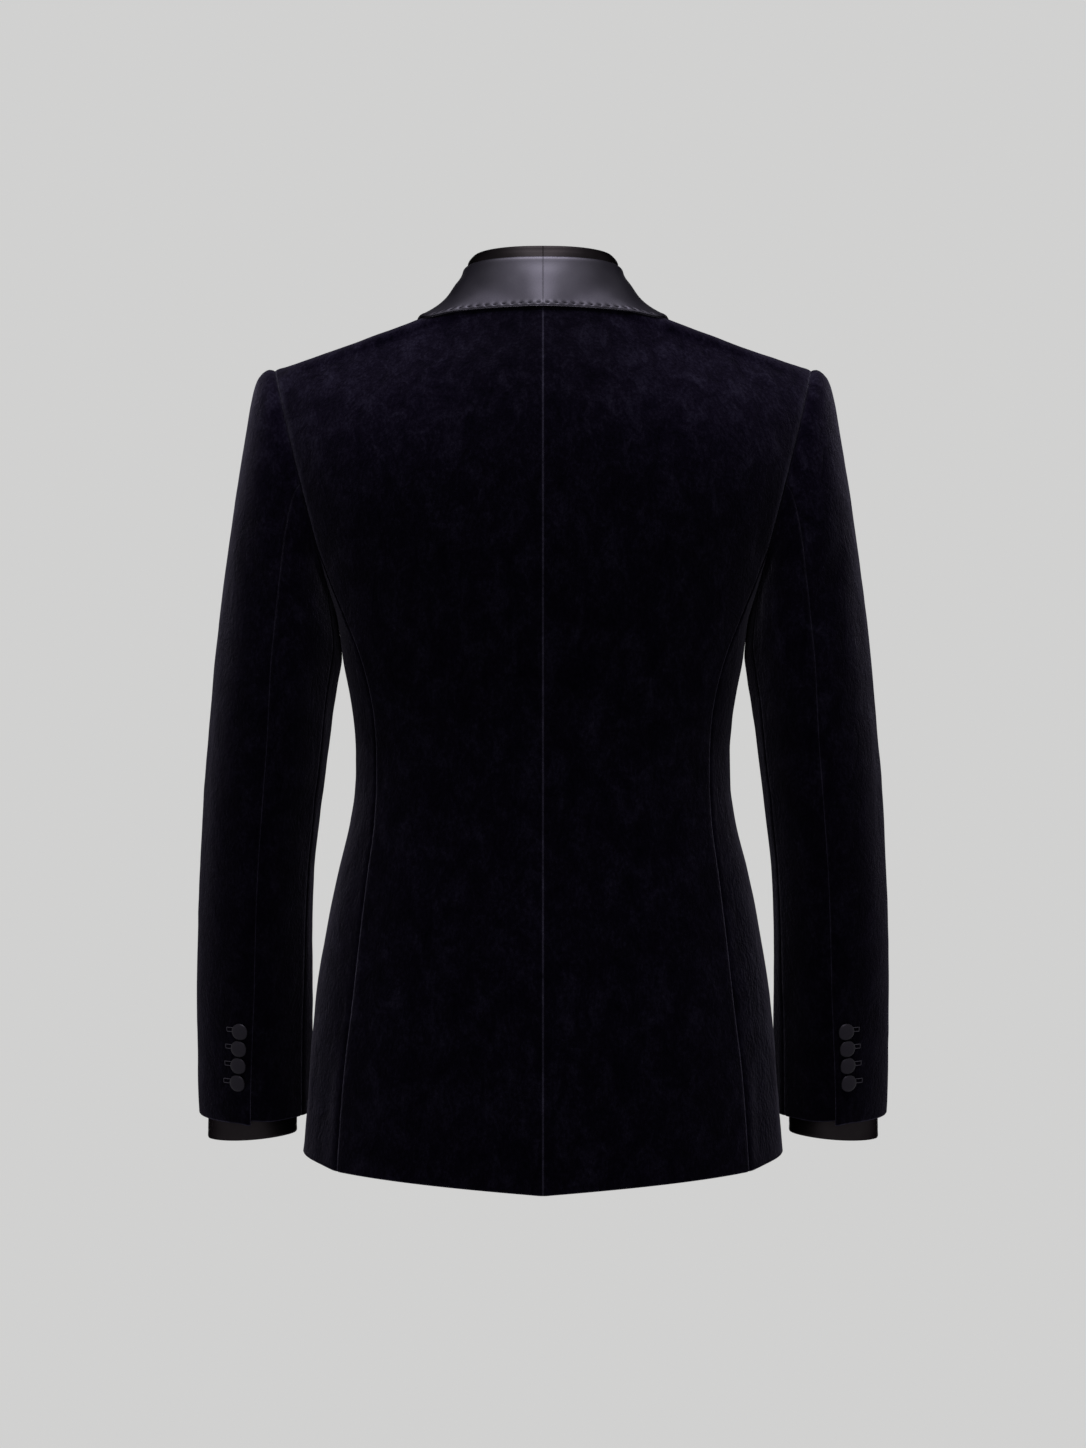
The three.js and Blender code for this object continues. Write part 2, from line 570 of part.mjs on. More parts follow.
const underArmhole = [...backArmhole.slice(0, 3).reverse(), ...sideArmhole.slice(1, 3)];

function share(angles) {
  const first = angles[0];
  const last = angles[angles.length - 1];
  return angles.map((angle) => (angle - first) / (last - first));
}

function topSleevePoint(across, at) {
  const seam = sleeveSeam(at);
  const point = sleevePoint(deg(mix(seam.inner - 360, seam.hind, across)), at);
  // The open edge of the vent lies over the under sleeve.
  const lift = VENT_LIFT * smoothstep(0.86, 1, across) * smoothstep(VENT_TOP - 0.4, VENT_TOP + 0.4, at);
  return point.addScaledVector(point.clone().sub(sleeveMiddle(at)).normalize(), lift);
}

function underSleevePoint(across, at) {
  const seam = sleeveSeam(at);
  return sleevePoint(deg(mix(seam.hind, seam.inner, across)), at);
}

const foldTowards = (p, row) => (row === 0 ? bodyMiddle(p) : sleeveMiddle(sleeveRows[row]));
const topSleeveGrid = foldedGrid(gridOf(topSleevePoint, share(topArmhole), sleeveRows), foldTowards);
const underSleeveGrid = foldedGrid(gridOf(underSleevePoint, share(underArmhole), sleeveRows), foldTowards);
const elbowRow = sleeveRows.indexOf(7);
// The top sleeve is built in two lengths, which meet at the elbow.
const topLengths = [
  ["top_sleeve_upper_", topSleeveGrid.slice(0, elbowRow + 1)],
  ["top_sleeve_lower_", topSleeveGrid.slice(elbowRow)],
];
for (const side of SIDES) {
  for (const [name, grid] of topLengths) {
    add(name + side.name, clothWall(grid, -1, CLOTH, side.mirrored, CREASE_TAPER), velvet);
  }
  const under = clothWall(underSleeveGrid, -1, CLOTH, side.mirrored, CREASE_TAPER);
  add("under_sleeve_" + side.name, under, velvet);
}

// The shawl collar

// Points of the body and their outward normals, which the collar is laid on
const bodyCloud = [];
for (const [pointAt, outward] of [
  [backPoint, -1],
  [frontPoint, 1],
]) {
  const grid = gridOf(pointAt, steps(0, 0.8, 48), steps(0.6, 3, 110));
  const normals = normalsOf(grid);
  grid.forEach((row, i) => {
    row.forEach((point, j) => bodyCloud.push({ point, normal: normals[i][j].multiplyScalar(outward) }));
  });
}

// Moves a point out until it stands a distance off the body.
function laidOn(point, distance) {
  let nearest = bodyCloud[0];
  let best = Infinity;
  for (const sample of bodyCloud) {
    const away = sample.point.distanceToSquared(point);
    if (away < best) {
      best = away;
      nearest = sample;
    }
  }
  const height = point.clone().sub(nearest.point).dot(nearest.normal);
  return point.clone().addScaledVector(nearest.normal, Math.max(0, distance - height));
}

// One rung of the collar, from the neck seam over the fold to the outer edge
const COLLAR_OFF_BACK = SATIN + 2.2;
const COLLAR_OFF_SHOULDER = SATIN + 1.1;
const collarOffBody = (along) => {
  const overShoulder = smoothstep(0.12, 0.18, along) * (1 - smoothstep(0.28, 0.38, along));
  return mix(COLLAR_OFF_BACK, COLLAR_OFF_SHOULDER, overShoulder);
};
function collarRung(along) {
  const at = collarStation(along);
  const tangent = neckTangent(along);
  const out = new THREE.Vector3(at.outX, at.outY, at.outZ);
  out.addScaledVector(tangent, -out.dot(tangent)).normalize();
  const tip = tangent.clone().cross(out);
  const step = (from, up, outwards) => from.clone().addScaledVector(tip, up).addScaledVector(out, outwards);
  const seam = neckPoint(along);
  const sunk = mix(0.8, CLOTH, smoothstep(0.2, 0.44, along));
  const fold = step(seam, at.stand + at.fold, at.fold - at.lean - sunk * smoothstep(0.2, 0.44, along));
  const foot = step(seam, 0.5, -sunk);
  const inner = step(fold, -at.fold, -at.fold);
  const outer = step(fold, -at.fold, at.fold);
  const edgeAt = collarEdge(along);
  const edge = laidOn(new THREE.Vector3(edgeAt.x, edgeAt.y, edgeAt.z), collarOffBody(along));
  const rung = [foot, foot.clone().lerp(inner, 0.5), inner];
  for (const [up, outwards] of [
    [-0.3, -0.72],
    [0, 0],
    [-0.3, 0.72],
  ]) {
    rung.push(step(fold, up * at.fold, outwards * at.fold));
  }
  rung.push(outer);
  for (const t of [0.25, 0.5, 0.76]) {
    const bulge = at.bulge * 4 * t * (1 - t) * (0.4 + 1.2 * t);
    rung.push(laidOn(step(outer.clone().lerp(edge, t), 0, bulge), collarOffBody(along)));
  }
  rung.push(edge);
  return rung;
}
const aroundNeck = [...steps(0, 0.14, 4), 0.157, 0.172, 0.186, 0.2, 0.215, 0.23];
const collarAlong = [...aroundNeck, 0.265, 0.3, 0.34, 0.385, 0.44, ...steps(0.5, 0.98, 8)];
const collarGrid = collarAlong.map(collarRung);
for (const side of SIDES) {
  const grid = side.mirrored ? collarGrid.map((row) => row.map(tucked)) : collarGrid;
  add("shawl_collar_" + side.name, clothWall(grid, -1, SATIN, side.mirrored), satin);
}

// The neckband inside the collar, from the collar's own points: its height over the stand, its lean in at the top,
// and how far it flares out over the fold
const bandStation = smoothTable("along", [
  { along: 0, above: 11.2, in: 1.4, flare: 0 },
  { along: 0.1, above: 11.6, in: 1, flare: 0.8 },
  { along: 0.17, above: 12, in: 0, flare: 3.4 },
  { along: 0.2, above: 11, in: -0.6, flare: 4 },
  { along: 0.23, above: 8, in: 0, flare: 3.4 },
]);
const BAND_OFF_STAND = 0.35;
const bandGrid = aroundNeck.map((along, i) => {
  const [foot, , inner] = collarGrid[i];
  const at = bandStation(along);
  const up = inner.clone().sub(foot).normalize();
  const inwards = neckTangent(along).cross(up).normalize();
  if (inwards.y * foot.y > 0) inwards.negate();
  const off = (p) => p.clone().addScaledVector(inwards, BAND_OFF_STAND);
  const top = off(inner).addScaledVector(up, 3.4 + at.above).addScaledVector(inwards, at.in);
  const neck = off(inner).addScaledVector(inwards, 0.1);
  return [
    off(foot.clone().lerp(inner, 0.25)),
    off(foot.clone().lerp(inner, 0.62)),
    neck,
    neck.clone().lerp(top, 0.55).addScaledVector(inwards, -at.flare),
    top,
  ];
});
for (const side of SIDES) {
  add("neckband_" + side.name, clothWall(bandGrid, 1, SATIN, side.mirrored), innerBlack);
}

// A ring in a level plane, drawn in by a distance, with its corners mitred
function drawnInRing(ring, distance) {
  const count = ring.length;
  const sideNormal = (p, q) => new THREE.Vector3(p.y - q.y, q.x - p.x, 0).normalize();
  return ring.map((p, i) => {
    const before = sideNormal(ring[(i + count - 1) % count], p);
    const after = sideNormal(p, ring[(i + 1) % count]);
    const middle = before.clone().add(after).normalize();
    return p.clone().addScaledVector(middle, distance / middle.dot(before));
  });
}

// The cuffs: each starts against the inside of its sleeve, from the sleeve's own points, and narrows below.
const cuffRow = sleeveRows.indexOf(CUFF.top);
const sleeveRing = [...topSleeveGrid[cuffRow].slice(0, -1), ...underSleeveGrid[cuffRow].slice(0, -1)];
const cuffDrops = [0, 0.3, 0.75, 0.97, 1];
const cuffRing = (drop, inset) => {
  const middle = sleeveMiddle(CUFF.top);
  return drawnInRing(sleeveRing, CLOTH + CUFF.offSleeve + inset).map((start) => {
    const angle = Math.atan2(start.y - middle.y, start.x - middle.x);
    const roundX = CUFF.middle + (CUFF.halfWidth - inset) * Math.cos(angle);
    const roundY = CUFF.back + (CUFF.halfDepth - inset) * Math.sin(angle);
    const narrowing = smoothstep(0, 0.75, drop);
    const z = mix(start.z, CUFF.bottom + CUFF.lift * (0.5 - 0.5 * Math.cos(angle)) ** 2, drop);
    return new THREE.Vector3(mix(start.x, roundX, narrowing), mix(start.y, roundY, narrowing), z);
  });
};
const cuffOuter = cuffDrops.map((drop) => cuffRing(drop, 0));
const cuffInner = cuffDrops.map((drop) => cuffRing(drop, CUFF.wall));
for (const side of SIDES) {
  add("cuff_" + side.name, wallBetween(cuffOuter, cuffInner, -1, side.mirrored, true), innerBlack);
}

// Covered buttons
function coveredButton(size) {
  const r = size.radius;
  const h = size.height;
  const profile = [
    [0, 0],
    [0.72 * r, 0],
    [0.94 * r, 0.16 * h],
    [r, 0.4 * h],
    [0.9 * r, 0.72 * h],
    [0.55 * r, 0.94 * h],
    [0, h],
  ];
  return new THREE.LatheGeometry(profile.map(([x, y]) => new THREE.Vector2(x, y)), 16).rotateX(Math.PI / 2);
}

// Sets a button on a place of the cloth, with its face along the cloth's normal.
function setButton(name, size, place, normal, mirrored) {
  const mesh = add(name, coveredButton(size), satin);
  const flip = mirrored ? -1 : 1;
  const facing = new THREE.Vector3(normal.x * flip, normal.y, normal.z);
  mesh.position.set(place.x * flip, place.y, place.z).addScaledVector(facing, SEAM_GAP);
  mesh.quaternion.setFromUnitVectors(new THREE.Vector3(0, 0, 1), facing);
}

// Where the sleeve buttons sit, seen from behind
const sleeveButtons = [
  { x: 255.4, z: -619.6 },
  { x: 256.5, z: -634.5 },
  { x: 257.2, z: -649.3 },
  { x: 258.3, z: -664.2 },
];
const outwardNormals = normalsOf(topSleeveGrid);
for (const normal of outwardNormals.flat()) normal.negate();

// The value of a grid at a place inside one of its squares
function within(grid, i, j, u, v) {
  const low = grid[i][j].clone().lerp(grid[i][j + 1], u);
  const high = grid[i + 1][j].clone().lerp(grid[i + 1][j + 1], u);
  return low.lerp(high, v);
}

// Where a line along Y first meets a grid, with the normal there
function placeOn(grid, normals, x, z) {
  let found = { away: Infinity };
  for (let i = 0; i < grid.length - 1; i++) {
    for (let j = 0; j < grid[0].length - 1; j++) {
      const corners = [grid[i][j], grid[i][j + 1], grid[i + 1][j], grid[i + 1][j + 1]];
      const spans = (key, value) => {
        const values = corners.map((p) => p[key] - value);
        return Math.min(...values) < 1 && Math.max(...values) > -1;
      };
      if (!spans("x", x) || !spans("z", z)) continue;
      for (const u of steps(0, 1, 50)) {
        for (const v of steps(0, 1, 100)) {
          const place = within(grid, i, j, u, v);
          const normal = within(normals, i, j, u, v).normalize();
          const away = Math.hypot(place.x - x, place.z - z) + (normal.y < 0 ? SLEEVE_BUTTON.radius : 0);
          if (away < found.away) found = { away, place, normal };
        }
      }
    }
  }
  return found;
}

// Lifts a place off the cloth until a disc about it clears every facet under it.
function clearedPlace(grid, place, normal, radius) {
  let height = 0;
  for (let i = 0; i < grid.length - 1; i++) {
    for (let j = 0; j < grid[0].length - 1; j++) {
      if (grid[i][j].distanceTo(place) > 8 * radius) continue;
      for (const u of steps(0, 1, 10)) {
        for (const v of steps(0, 1, 10)) {
          const offset = within(grid, i, j, u, v).sub(place);
          const rise = offset.dot(normal);
          const aside = offset.addScaledVector(normal, -rise).length();
          if (aside < radius && Math.abs(rise) < 2 * radius) height = Math.max(height, rise);
        }
      }
    }
  }
  return place.clone().addScaledVector(normal, height);
}

sleeveButtons.forEach((button, i) => {
  const { place, normal } = placeOn(topSleeveGrid, outwardNormals, button.x, button.z);
  const seat = clearedPlace(topSleeveGrid, place, normal, 0.72 * SLEEVE_BUTTON.radius);
  for (const side of SIDES) {
    setButton(`sleeve_button_${side.name}_${i + 1}`, SLEEVE_BUTTON, seat, normal, side.mirrored);
  }
});
const frontPlace = bodyPoint(Math.PI, BUTTON_HEIGHT);
setButton("front_button", FRONT_BUTTON, frontPlace, new THREE.Vector3(0, -1, 0), false);

export default jacket;
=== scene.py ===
import math

import bpy
import numpy as np
from mathutils import Matrix, Vector


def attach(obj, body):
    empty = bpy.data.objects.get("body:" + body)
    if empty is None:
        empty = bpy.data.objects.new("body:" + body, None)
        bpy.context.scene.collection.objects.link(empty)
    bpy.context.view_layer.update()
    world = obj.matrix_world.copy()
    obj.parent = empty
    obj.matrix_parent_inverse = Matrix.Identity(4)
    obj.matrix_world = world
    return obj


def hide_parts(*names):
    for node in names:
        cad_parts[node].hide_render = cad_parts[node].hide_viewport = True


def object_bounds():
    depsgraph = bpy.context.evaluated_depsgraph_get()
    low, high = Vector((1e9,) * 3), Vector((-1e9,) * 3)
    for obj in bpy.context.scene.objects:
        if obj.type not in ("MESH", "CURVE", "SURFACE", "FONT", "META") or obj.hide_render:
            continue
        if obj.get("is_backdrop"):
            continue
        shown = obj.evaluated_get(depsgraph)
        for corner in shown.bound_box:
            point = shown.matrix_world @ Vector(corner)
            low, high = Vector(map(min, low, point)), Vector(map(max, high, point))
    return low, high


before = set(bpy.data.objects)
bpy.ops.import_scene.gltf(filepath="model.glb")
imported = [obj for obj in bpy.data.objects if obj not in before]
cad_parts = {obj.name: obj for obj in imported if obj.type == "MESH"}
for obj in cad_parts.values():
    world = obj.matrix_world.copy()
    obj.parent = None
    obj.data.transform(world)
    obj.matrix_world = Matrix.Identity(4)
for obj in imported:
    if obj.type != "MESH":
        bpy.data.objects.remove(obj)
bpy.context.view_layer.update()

# The part's sizes, as in its source
CLOTH, SATIN = 2.0, 1.5
HEM_BACK, HEM_BACK_SEAM, HEM_FRONT_SEAM, HEM_FRONT, SIDE_HEM_LIFT = -742.5, -728.5, -727.0, -744.0, 7.0
NAPE, NECK_POINT = (0.0, 50.0, 3.0), (68.0, -2.0, -2.5)
SHOULDER_SAG, UNDERARM = 5.4, -262.0
BACK_SEAM_ARMHOLE, FRONT_SEAM_ARMHOLE, BACK_SHOULDER, FRONT_SHOULDER = 119.5, 228.0, 30.0, 330.0
BACK_POWER, FRONT_POWER = 2.5, 2.3
BACK_YOKE, FRONT_YOKE, BACK_BULGE, FRONT_BULGE = -205.0, -228.0, 46.0, 132.0
OVERLAP_TUCK, BREAK_HEIGHT, NECK_BREAK = 8.0, -382.0, -24.0
SLEEVE_HEM, VENT_TOP, VENT_LIFT, HEM_TILT = 15.0, 12.6, 1.2, 5.0
NECK_SHARE, NECK_SQUARE = 0.2, 0.05


def mix(a, b, t):
    return a + (b - a) * t


def smoothstep(low, high, x):
    t = np.clip((x - low) / (high - low), 0, 1)
    return t * t * (3 - 2 * t)


def signed_power(x, power):
    return np.sign(x) * np.abs(x) ** power


def points(x, y, z):
    return np.stack(np.broadcast_arrays(x, y, z), -1).astype(float)


def unit(v):
    return v / np.maximum(np.linalg.norm(v, axis=-1, keepdims=True), 1e-9)


class Table:
    """Named columns, read at any value of the first by monotone cubic interpolation."""

    def __init__(self, names, rows):
        self.names = names.split()[1:]
        data = np.array(rows, float)
        self.keys, self.values = data[:, 0], data[:, 1:]
        rise = np.diff(self.values, axis=0) / np.diff(self.keys)[:, None]
        slopes = np.zeros_like(self.values)
        slopes[0], slopes[-1] = rise[0], rise[-1]
        product, total = rise[:-1] * rise[1:], rise[:-1] + rise[1:]
        slopes[1:-1] = np.where(product > 0, 2 * product / np.where(total == 0, 1, total), 0)
        self.slopes = slopes

    def __call__(self, value):
        value = np.asarray(value, float)
        i = np.clip(np.searchsorted(self.keys, value, side="right") - 1, 0, len(self.keys) - 2)
        span = self.keys[i + 1] - self.keys[i]
        t = np.clip((value - self.keys[i]) / span, 0, 1)[..., None]
        span = span[..., None]
        found = (
            (1 + 2 * t) * (1 - t) ** 2 * self.values[i]
            + t * (1 - t) ** 2 * span * self.slopes[i]
            + t * t * (3 - 2 * t) * self.values[i + 1]
            + t * t * (t - 1) * span * self.slopes[i + 1]
        )
        return dict(zip(self.names, np.moveaxis(found, -1, 0)))


# Heights, half widths and depths of the body, with the place of the back side seam across it
section = Table("z half back front seam", [
    (-745, 205, 124, 126, 171.5), (-714, 203.5, 123, 125, 169.8), (-650, 198.8, 121, 124, 165),
    (-588, 192.3, 116, 122, 157.7), (-525, 181.8, 108, 120, 151), (-483, 173, 102, 119, 146),
    (-441, 163, 97.5, 119, 140.8), (-410, 159, 96, 119.5, 139.3), (-385, 158.8, 96, 120, 139.2),
    (-357, 160.8, 97.5, 121.5, 140.2), (-336, 164, 100, 123, 142.8), (-306, 169.6, 105, 125, 149.5),
    (-271, 174, 110.5, 126, 162.3), (-231, 184, 115.5, 125, 178), (-205, 192, 117.5, 122.5, 187),
    (-160, 205, 117.5, 114, 195), (-110, 216, 110, 99, 205), (-60, 224, 89, 74, 214),
    (-24, 229, 66, 47, 218), (3, 232, 50, 30, 220),
])

# How far across the front edge and the roll line lie
front_edge = Table("z x", [
    (HEM_FRONT, 96), (-741, 84), (-732.5, 71.5), (-710, 58.5), (-650, 39), (-580, 18), (-500, -3), (-440, -14),
    (-402, -17.5), (BREAK_HEIGHT, -16), (-340, -7), (-200, 23.5), (-80, 50), (NECK_BREAK, 62),
])

# The sleeve's outer and inner outlines, its half depth, how far back its middle lies and its crease
sleeve_station = Table("at out_x out_z in_x in_z depth shift point", [
    (0, 227.5, -59.5, 175.2, -264, 62, -3, 2.1), (0.4, 232.6, -59.3, 176.2, -265.5, 63, -3, 2.1),
    (1, 241, -66, 175.4, -271, 64, -3, 2.1), (2, 247.5, -86, 173.6, -281, 65, -2.5, 2.1),
    (3, 252.7, -117, 172, -292, 66, -2, 2.1), (4, 258.6, -153, 171, -304, 67, -1.5, 2.1),
    (5, 265.3, -200, 174, -324, 68, -1, 2.1), (6, 272.4, -253, 178, -348, 68, -0.5, 2.05),
    (7, 278.5, -308, 181.6, -376, 67, -1, 2), (8, 283.9, -364, 186, -408, 65, -3, 1.95),
    (9, 288.9, -420, 190.8, -445, 62, -7, 1.9), (10, 292.2, -472, 195.3, -486, 59, -11, 1.85),
    (11, 294.8, -523, 197.4, -530, 55.5, -17, 1.8), (12, 296.5, -572, 198, -575, 52, -24, 1.7),
    (13, 297.4, -617.7, 198.3, -617.7, 49, -32, 1.65), (14, 297.6, -657.1, 198.8, -656.1, 46.5, -38, 1.6),
    (SLEEVE_HEM, 296.9, -696, 199.5, -694, 44.5, -43, 1.6),
])

sleeve_seam = Table("at hind inner", [
    (0, mix(BACK_SEAM_ARMHOLE, BACK_SHOULDER, 2 / 6), mix(BACK_SEAM_ARMHOLE, FRONT_SEAM_ARMHOLE, 2 / 8)),
    (0.6, 91, 147.4), (1, 91.2, 147.9), (2, 89.8, 149.1), (3.5, 87.6, 150.9),
    (6, 90.8, 154), (8, 96.5, 158), (10, 98.5, 159), (12, 98, 156), (13, 95.5, 153), (SLEEVE_HEM, 89.5, 152),
])

# The collar along its fold: stand, fold radius, lean, bulge of the fall and outward way
collar_station = Table("along stand fold lean bulge out_x out_y out_z", [
    (-0.1, 24.4, 3.4, 7, -1.5, -0.72, 0.69, 0), (0, 24.2, 3.4, 7, 0, 0, 1, 0),
    (0.1, 24.4, 3.4, 7, -1.5, 0.72, 0.69, 0), (0.2, 24.4, 3.4, 6, -6.5, 1, 0, 0),
    (0.27, 18, 3.3, 4.5, -5, 0.78, -0.6, 0.14), (0.35, 8, 3.2, 1.5, -1, 0.42, -0.88, 0.22),
    (0.44, 2, 3.1, 0, 2, 0.24, -0.94, 0.22), (0.6, 1.5, 3, 0, 4, 0.12, -0.99, 0.05),
    (0.8, 1.3, 2.1, 0, 3, 0.05, -1, -0.02), (1, 1.2, 1.6, 0, 0.5, 0, -1, -0.02),
])

collar_edge = Table("along x y z", [
    (-0.05, -27, 58.7, -12.9), (0, 0, 63.5, -12.7), (0.05, 27, 58.7, -12.9), (0.1, 57, 53.2, -14.2),
    (0.14, 82, 49.5, -16.8), (0.157, 92, 47.8, -18.4), (0.172, 99, 43, -19), (0.186, 103.5, 31, -17.6),
    (0.2, 106.5, 12, -17.4), (0.215, 108, -2, -18.1), (0.23, 110, -14, -20.7), (0.26, 113, -32, -26.6),
    (0.34, 119, -62, -60), (0.44, 116, -90, -112), (0.55, 107, -108, -170),
    (0.66, 91, -117, -226), (0.78, 66, -122, -285), (0.9, 29, -123, -342), (1, -13, -122, -386),
])

band_station = Table("along above inwards flare", [
    (0, 11.2, 1.4, 0), (0.1, 11.6, 1, 0.8), (0.17, 12, 0, 3.4), (0.2, 11, -0.6, 4), (0.23, 8, 0, 3.4),
])

# Soft troughs of the hanging cloth: from, to, width, depth. The first rows are the part's own.
FOLDS = [
    ((186, 60, -640), (178, 62, -735), 13, 2.6), ((203, 8, -610), (206, 8, -735), 15, 2.4),
    ((186, -62, -600), (190, -66, -735), 15, 2.2), ((150, 92, -225), (112, 108, -330), 15, 1.8),
    ((166, 72, -150), (178, 66, -235), 11, 1.6), ((160, -85, -190), (120, -112, -300), 16, 1.6),
    ((236, 64, -120), (214, 66, -225), 12, 2.2), ((256, 52, -190), (216, 68, -300), 12, 2.2),
    ((190, 40, -372), (246, 66, -398), 11, 2), ((188, 24, -425), (236, 62, -452), 11, 2),
    ((186, -40, -400), (250, -66, -426), 12, 2.6), ((190, -48, -446), (240, -72, -470), 11, 2.2),
    ((246, -66, -110), (222, -68, -210), 13, 2.2),
]
# Smaller creases that the cloth alone has
CREASES = [
    ((152, 78, -290), (146, 74, -380), 7, 0.7), ((120, 92, -372), (60, 97, -396), 8, 0.7),
    ((130, 86, -410), (84, 96, -432), 7, 0.6), ((96, 116, -520), (104, 118, -700), 16, 0.8),
    ((40, 112, -430), (50, 120, -640), 18, 0.6), ((268, 30, -330), (246, 60, -372), 8, 0.8),
    ((196, 30, -356), (214, 58, -372), 6, 0.7), ((202, 26, -486), (236, 52, -502), 8, 0.9),
    ((280, 20, -420), (256, 50, -446), 7, 0.6), ((208, 12, -560), (240, 34, -590), 9, 0.8),
    ((196, -40, -352), (230, -66, -372), 8, 1.0), ((200, -60, -500), (246, -76, -530), 9, 1.1),
    ((150, -100, -420), (60, -118, -402), 10, 1.0), ((146, -98, -372), (50, -118, -396), 9, 0.8),
    ((168, -70, -330), (150, -96, -430), 9, 0.8), ((176, 0, -300), (158, 6, -410), 10, 0.9),
    ((120, -122, -560), (132, -122, -720), 16, 1.2), ((212, 62, -150), (200, 62, -240), 7, 0.8),
    ((206, -64, -150), (196, -62, -250), 8, 1.0), ((262, -30, -150), (240, -58, -260), 9, 0.9),
    ((190, 93, -186), (179, 94, -232), 4.5, 1.3), ((189, 47, -642), (191, 46, -735), 6, 1.5),
    ((177, 68, -645), (176, 70, -735), 5, 1.2), ((197, 27, -645), (199, 28, -735), 7, 1.3),
    ((196, -32, -642), (200, -34, -735), 8, 1.5), ((160, -98, -600), (166, -98, -735), 8, 1.2),
    ((276, 24, -340), (284, 10, -520), 8, 1.0), ((262, 40, -260), (268, 34, -420), 9, 0.8),
    ((264, 52, -140), (244, 66, -190), 7, 0.9), ((252, 60, -100), (228, 68, -160), 7, 0.9),
    ((284, -40, -380), (288, -56, -560), 9, 1.1), ((262, -80, -300), (270, -84, -480), 9, 0.9),
]


# The body's form


def body_point(angle, z):
    at = section(z)
    behind = np.cos(angle) > 0
    power = np.where(behind, 2 / BACK_POWER, 2 / FRONT_POWER)
    depth = np.where(behind, at["back"], at["front"])
    return points(at["half"] * signed_power(np.sin(angle), power), depth * signed_power(np.cos(angle), power), z)


def back_angle(x, z):
    return np.arcsin(np.minimum(1, x / section(z)["half"]) ** (BACK_POWER / 2))


def front_angle(x, z):
    return math.pi - np.arcsin(signed_power(x / section(z)["half"], FRONT_POWER / 2))


def front_seam_angle(z):
    return front_angle(section(z)["half"] * mix(0.925, 0.955, smoothstep(-420, UNDERARM, z)), z)


def sleeve_point(angle, at):
    s = sleeve_station(at)
    power = np.where(np.sin(angle) > 0, 2 / s["point"], 2 / 2.1)
    along, deep = signed_power(np.cos(angle), power), signed_power(np.sin(angle), power)
    x = (s["in_x"] + s["out_x"]) / 2 + (s["out_x"] - s["in_x"]) / 2 * along
    z = (s["in_z"] + s["out_z"]) / 2 + (s["out_z"] - s["in_z"]) / 2 * along
    return points(x, s["shift"] + s["depth"] * deep, z - HEM_TILT * deep * smoothstep(7, SLEEVE_HEM, at))


def sleeve_middle(at):
    return (sleeve_point(math.pi, at) + sleeve_point(0.0, at)) / 2


def armhole_point(degrees):
    return sleeve_point(np.radians(degrees), np.zeros(np.shape(degrees)))


def side_point(across, up):
    top = armhole_point(mix(BACK_SEAM_ARMHOLE, FRONT_SEAM_ARMHOLE, across))
    hem = mix(HEM_BACK_SEAM, HEM_FRONT_SEAM, across) + SIDE_HEM_LIFT * np.sin(math.pi * across)

    def at(z):
        return body_point(mix(back_angle(section(z)["seam"], z), front_seam_angle(z), across), z)

    miss = top - at(top[..., 2])
    return at(mix(hem, top[..., 2], up)) + miss * smoothstep(0.62, 1, up)[..., None]


def front_edge_point(z):
    return body_point(front_angle(front_edge(z)["x"], z), z)


def neck_table():
    rows = []
    for i in range(-1, 9):
        turn = math.radians(11.25 * i)
        square = 1 + NECK_SQUARE * math.sin(2 * turn) ** 2
        rows.append((
            NECK_SHARE * i / 8, NECK_POINT[0] * math.sin(turn) * square,
            mix(NECK_POINT[1], NAPE[1], math.cos(turn) * square), mix(NECK_POINT[2], NAPE[2], math.cos(turn)),
        ))
    roll = [np.array(NECK_POINT), np.array(NECK_POINT) + (-1.2, -22, -5)]
    roll += list(front_edge_point(np.linspace(NECK_BREAK, BREAK_HEIGHT, 9)))
    lengths = np.cumsum([0] + [np.linalg.norm(b - a) for a, b in zip(roll, roll[1:])])
    for p, length in list(zip(roll, lengths))[1:]:
        rows.append((mix(NECK_SHARE, 1, length / lengths[-1]), *p))
    return Table("along x y z", rows), mix(NECK_SHARE, 1, lengths[2] / lengths[-1])


neck_line, NECK_BREAK_ALONG = neck_table()


def neck_point(along):
    at = neck_line(np.abs(along))
    return points(np.where(np.asarray(along) < 0, -at["x"], at["x"]), at["y"], at["z"])


def neck_tangent(along):
    return unit(neck_point(np.minimum(1, along + 0.004)) - neck_point(along - 0.004))


def row_point(across, start, end, from_angle, to_angle, z):
    a, b = body_point(from_angle, z), body_point(to_angle, z)
    p = body_point(mix(from_angle, to_angle, across), z)
    share = (p - a) / (b - a + np.array([0, 0, 1]))
    return points(
        mix(start[..., 0], end[..., 0], share[..., 0]),
        mix(start[..., 1], end[..., 1], share[..., 1]),
        mix(start[..., 2], end[..., 2], share[..., 0]),
    )


def sagged(point, start, end, share):
    along = (point[..., 0] - start[..., 0]) / (end[..., 0] - start[..., 0])
    point[..., 2] -= SHOULDER_SAG * np.sin(math.pi * np.clip(along, 0, 1) ** 0.8) * share
    return point


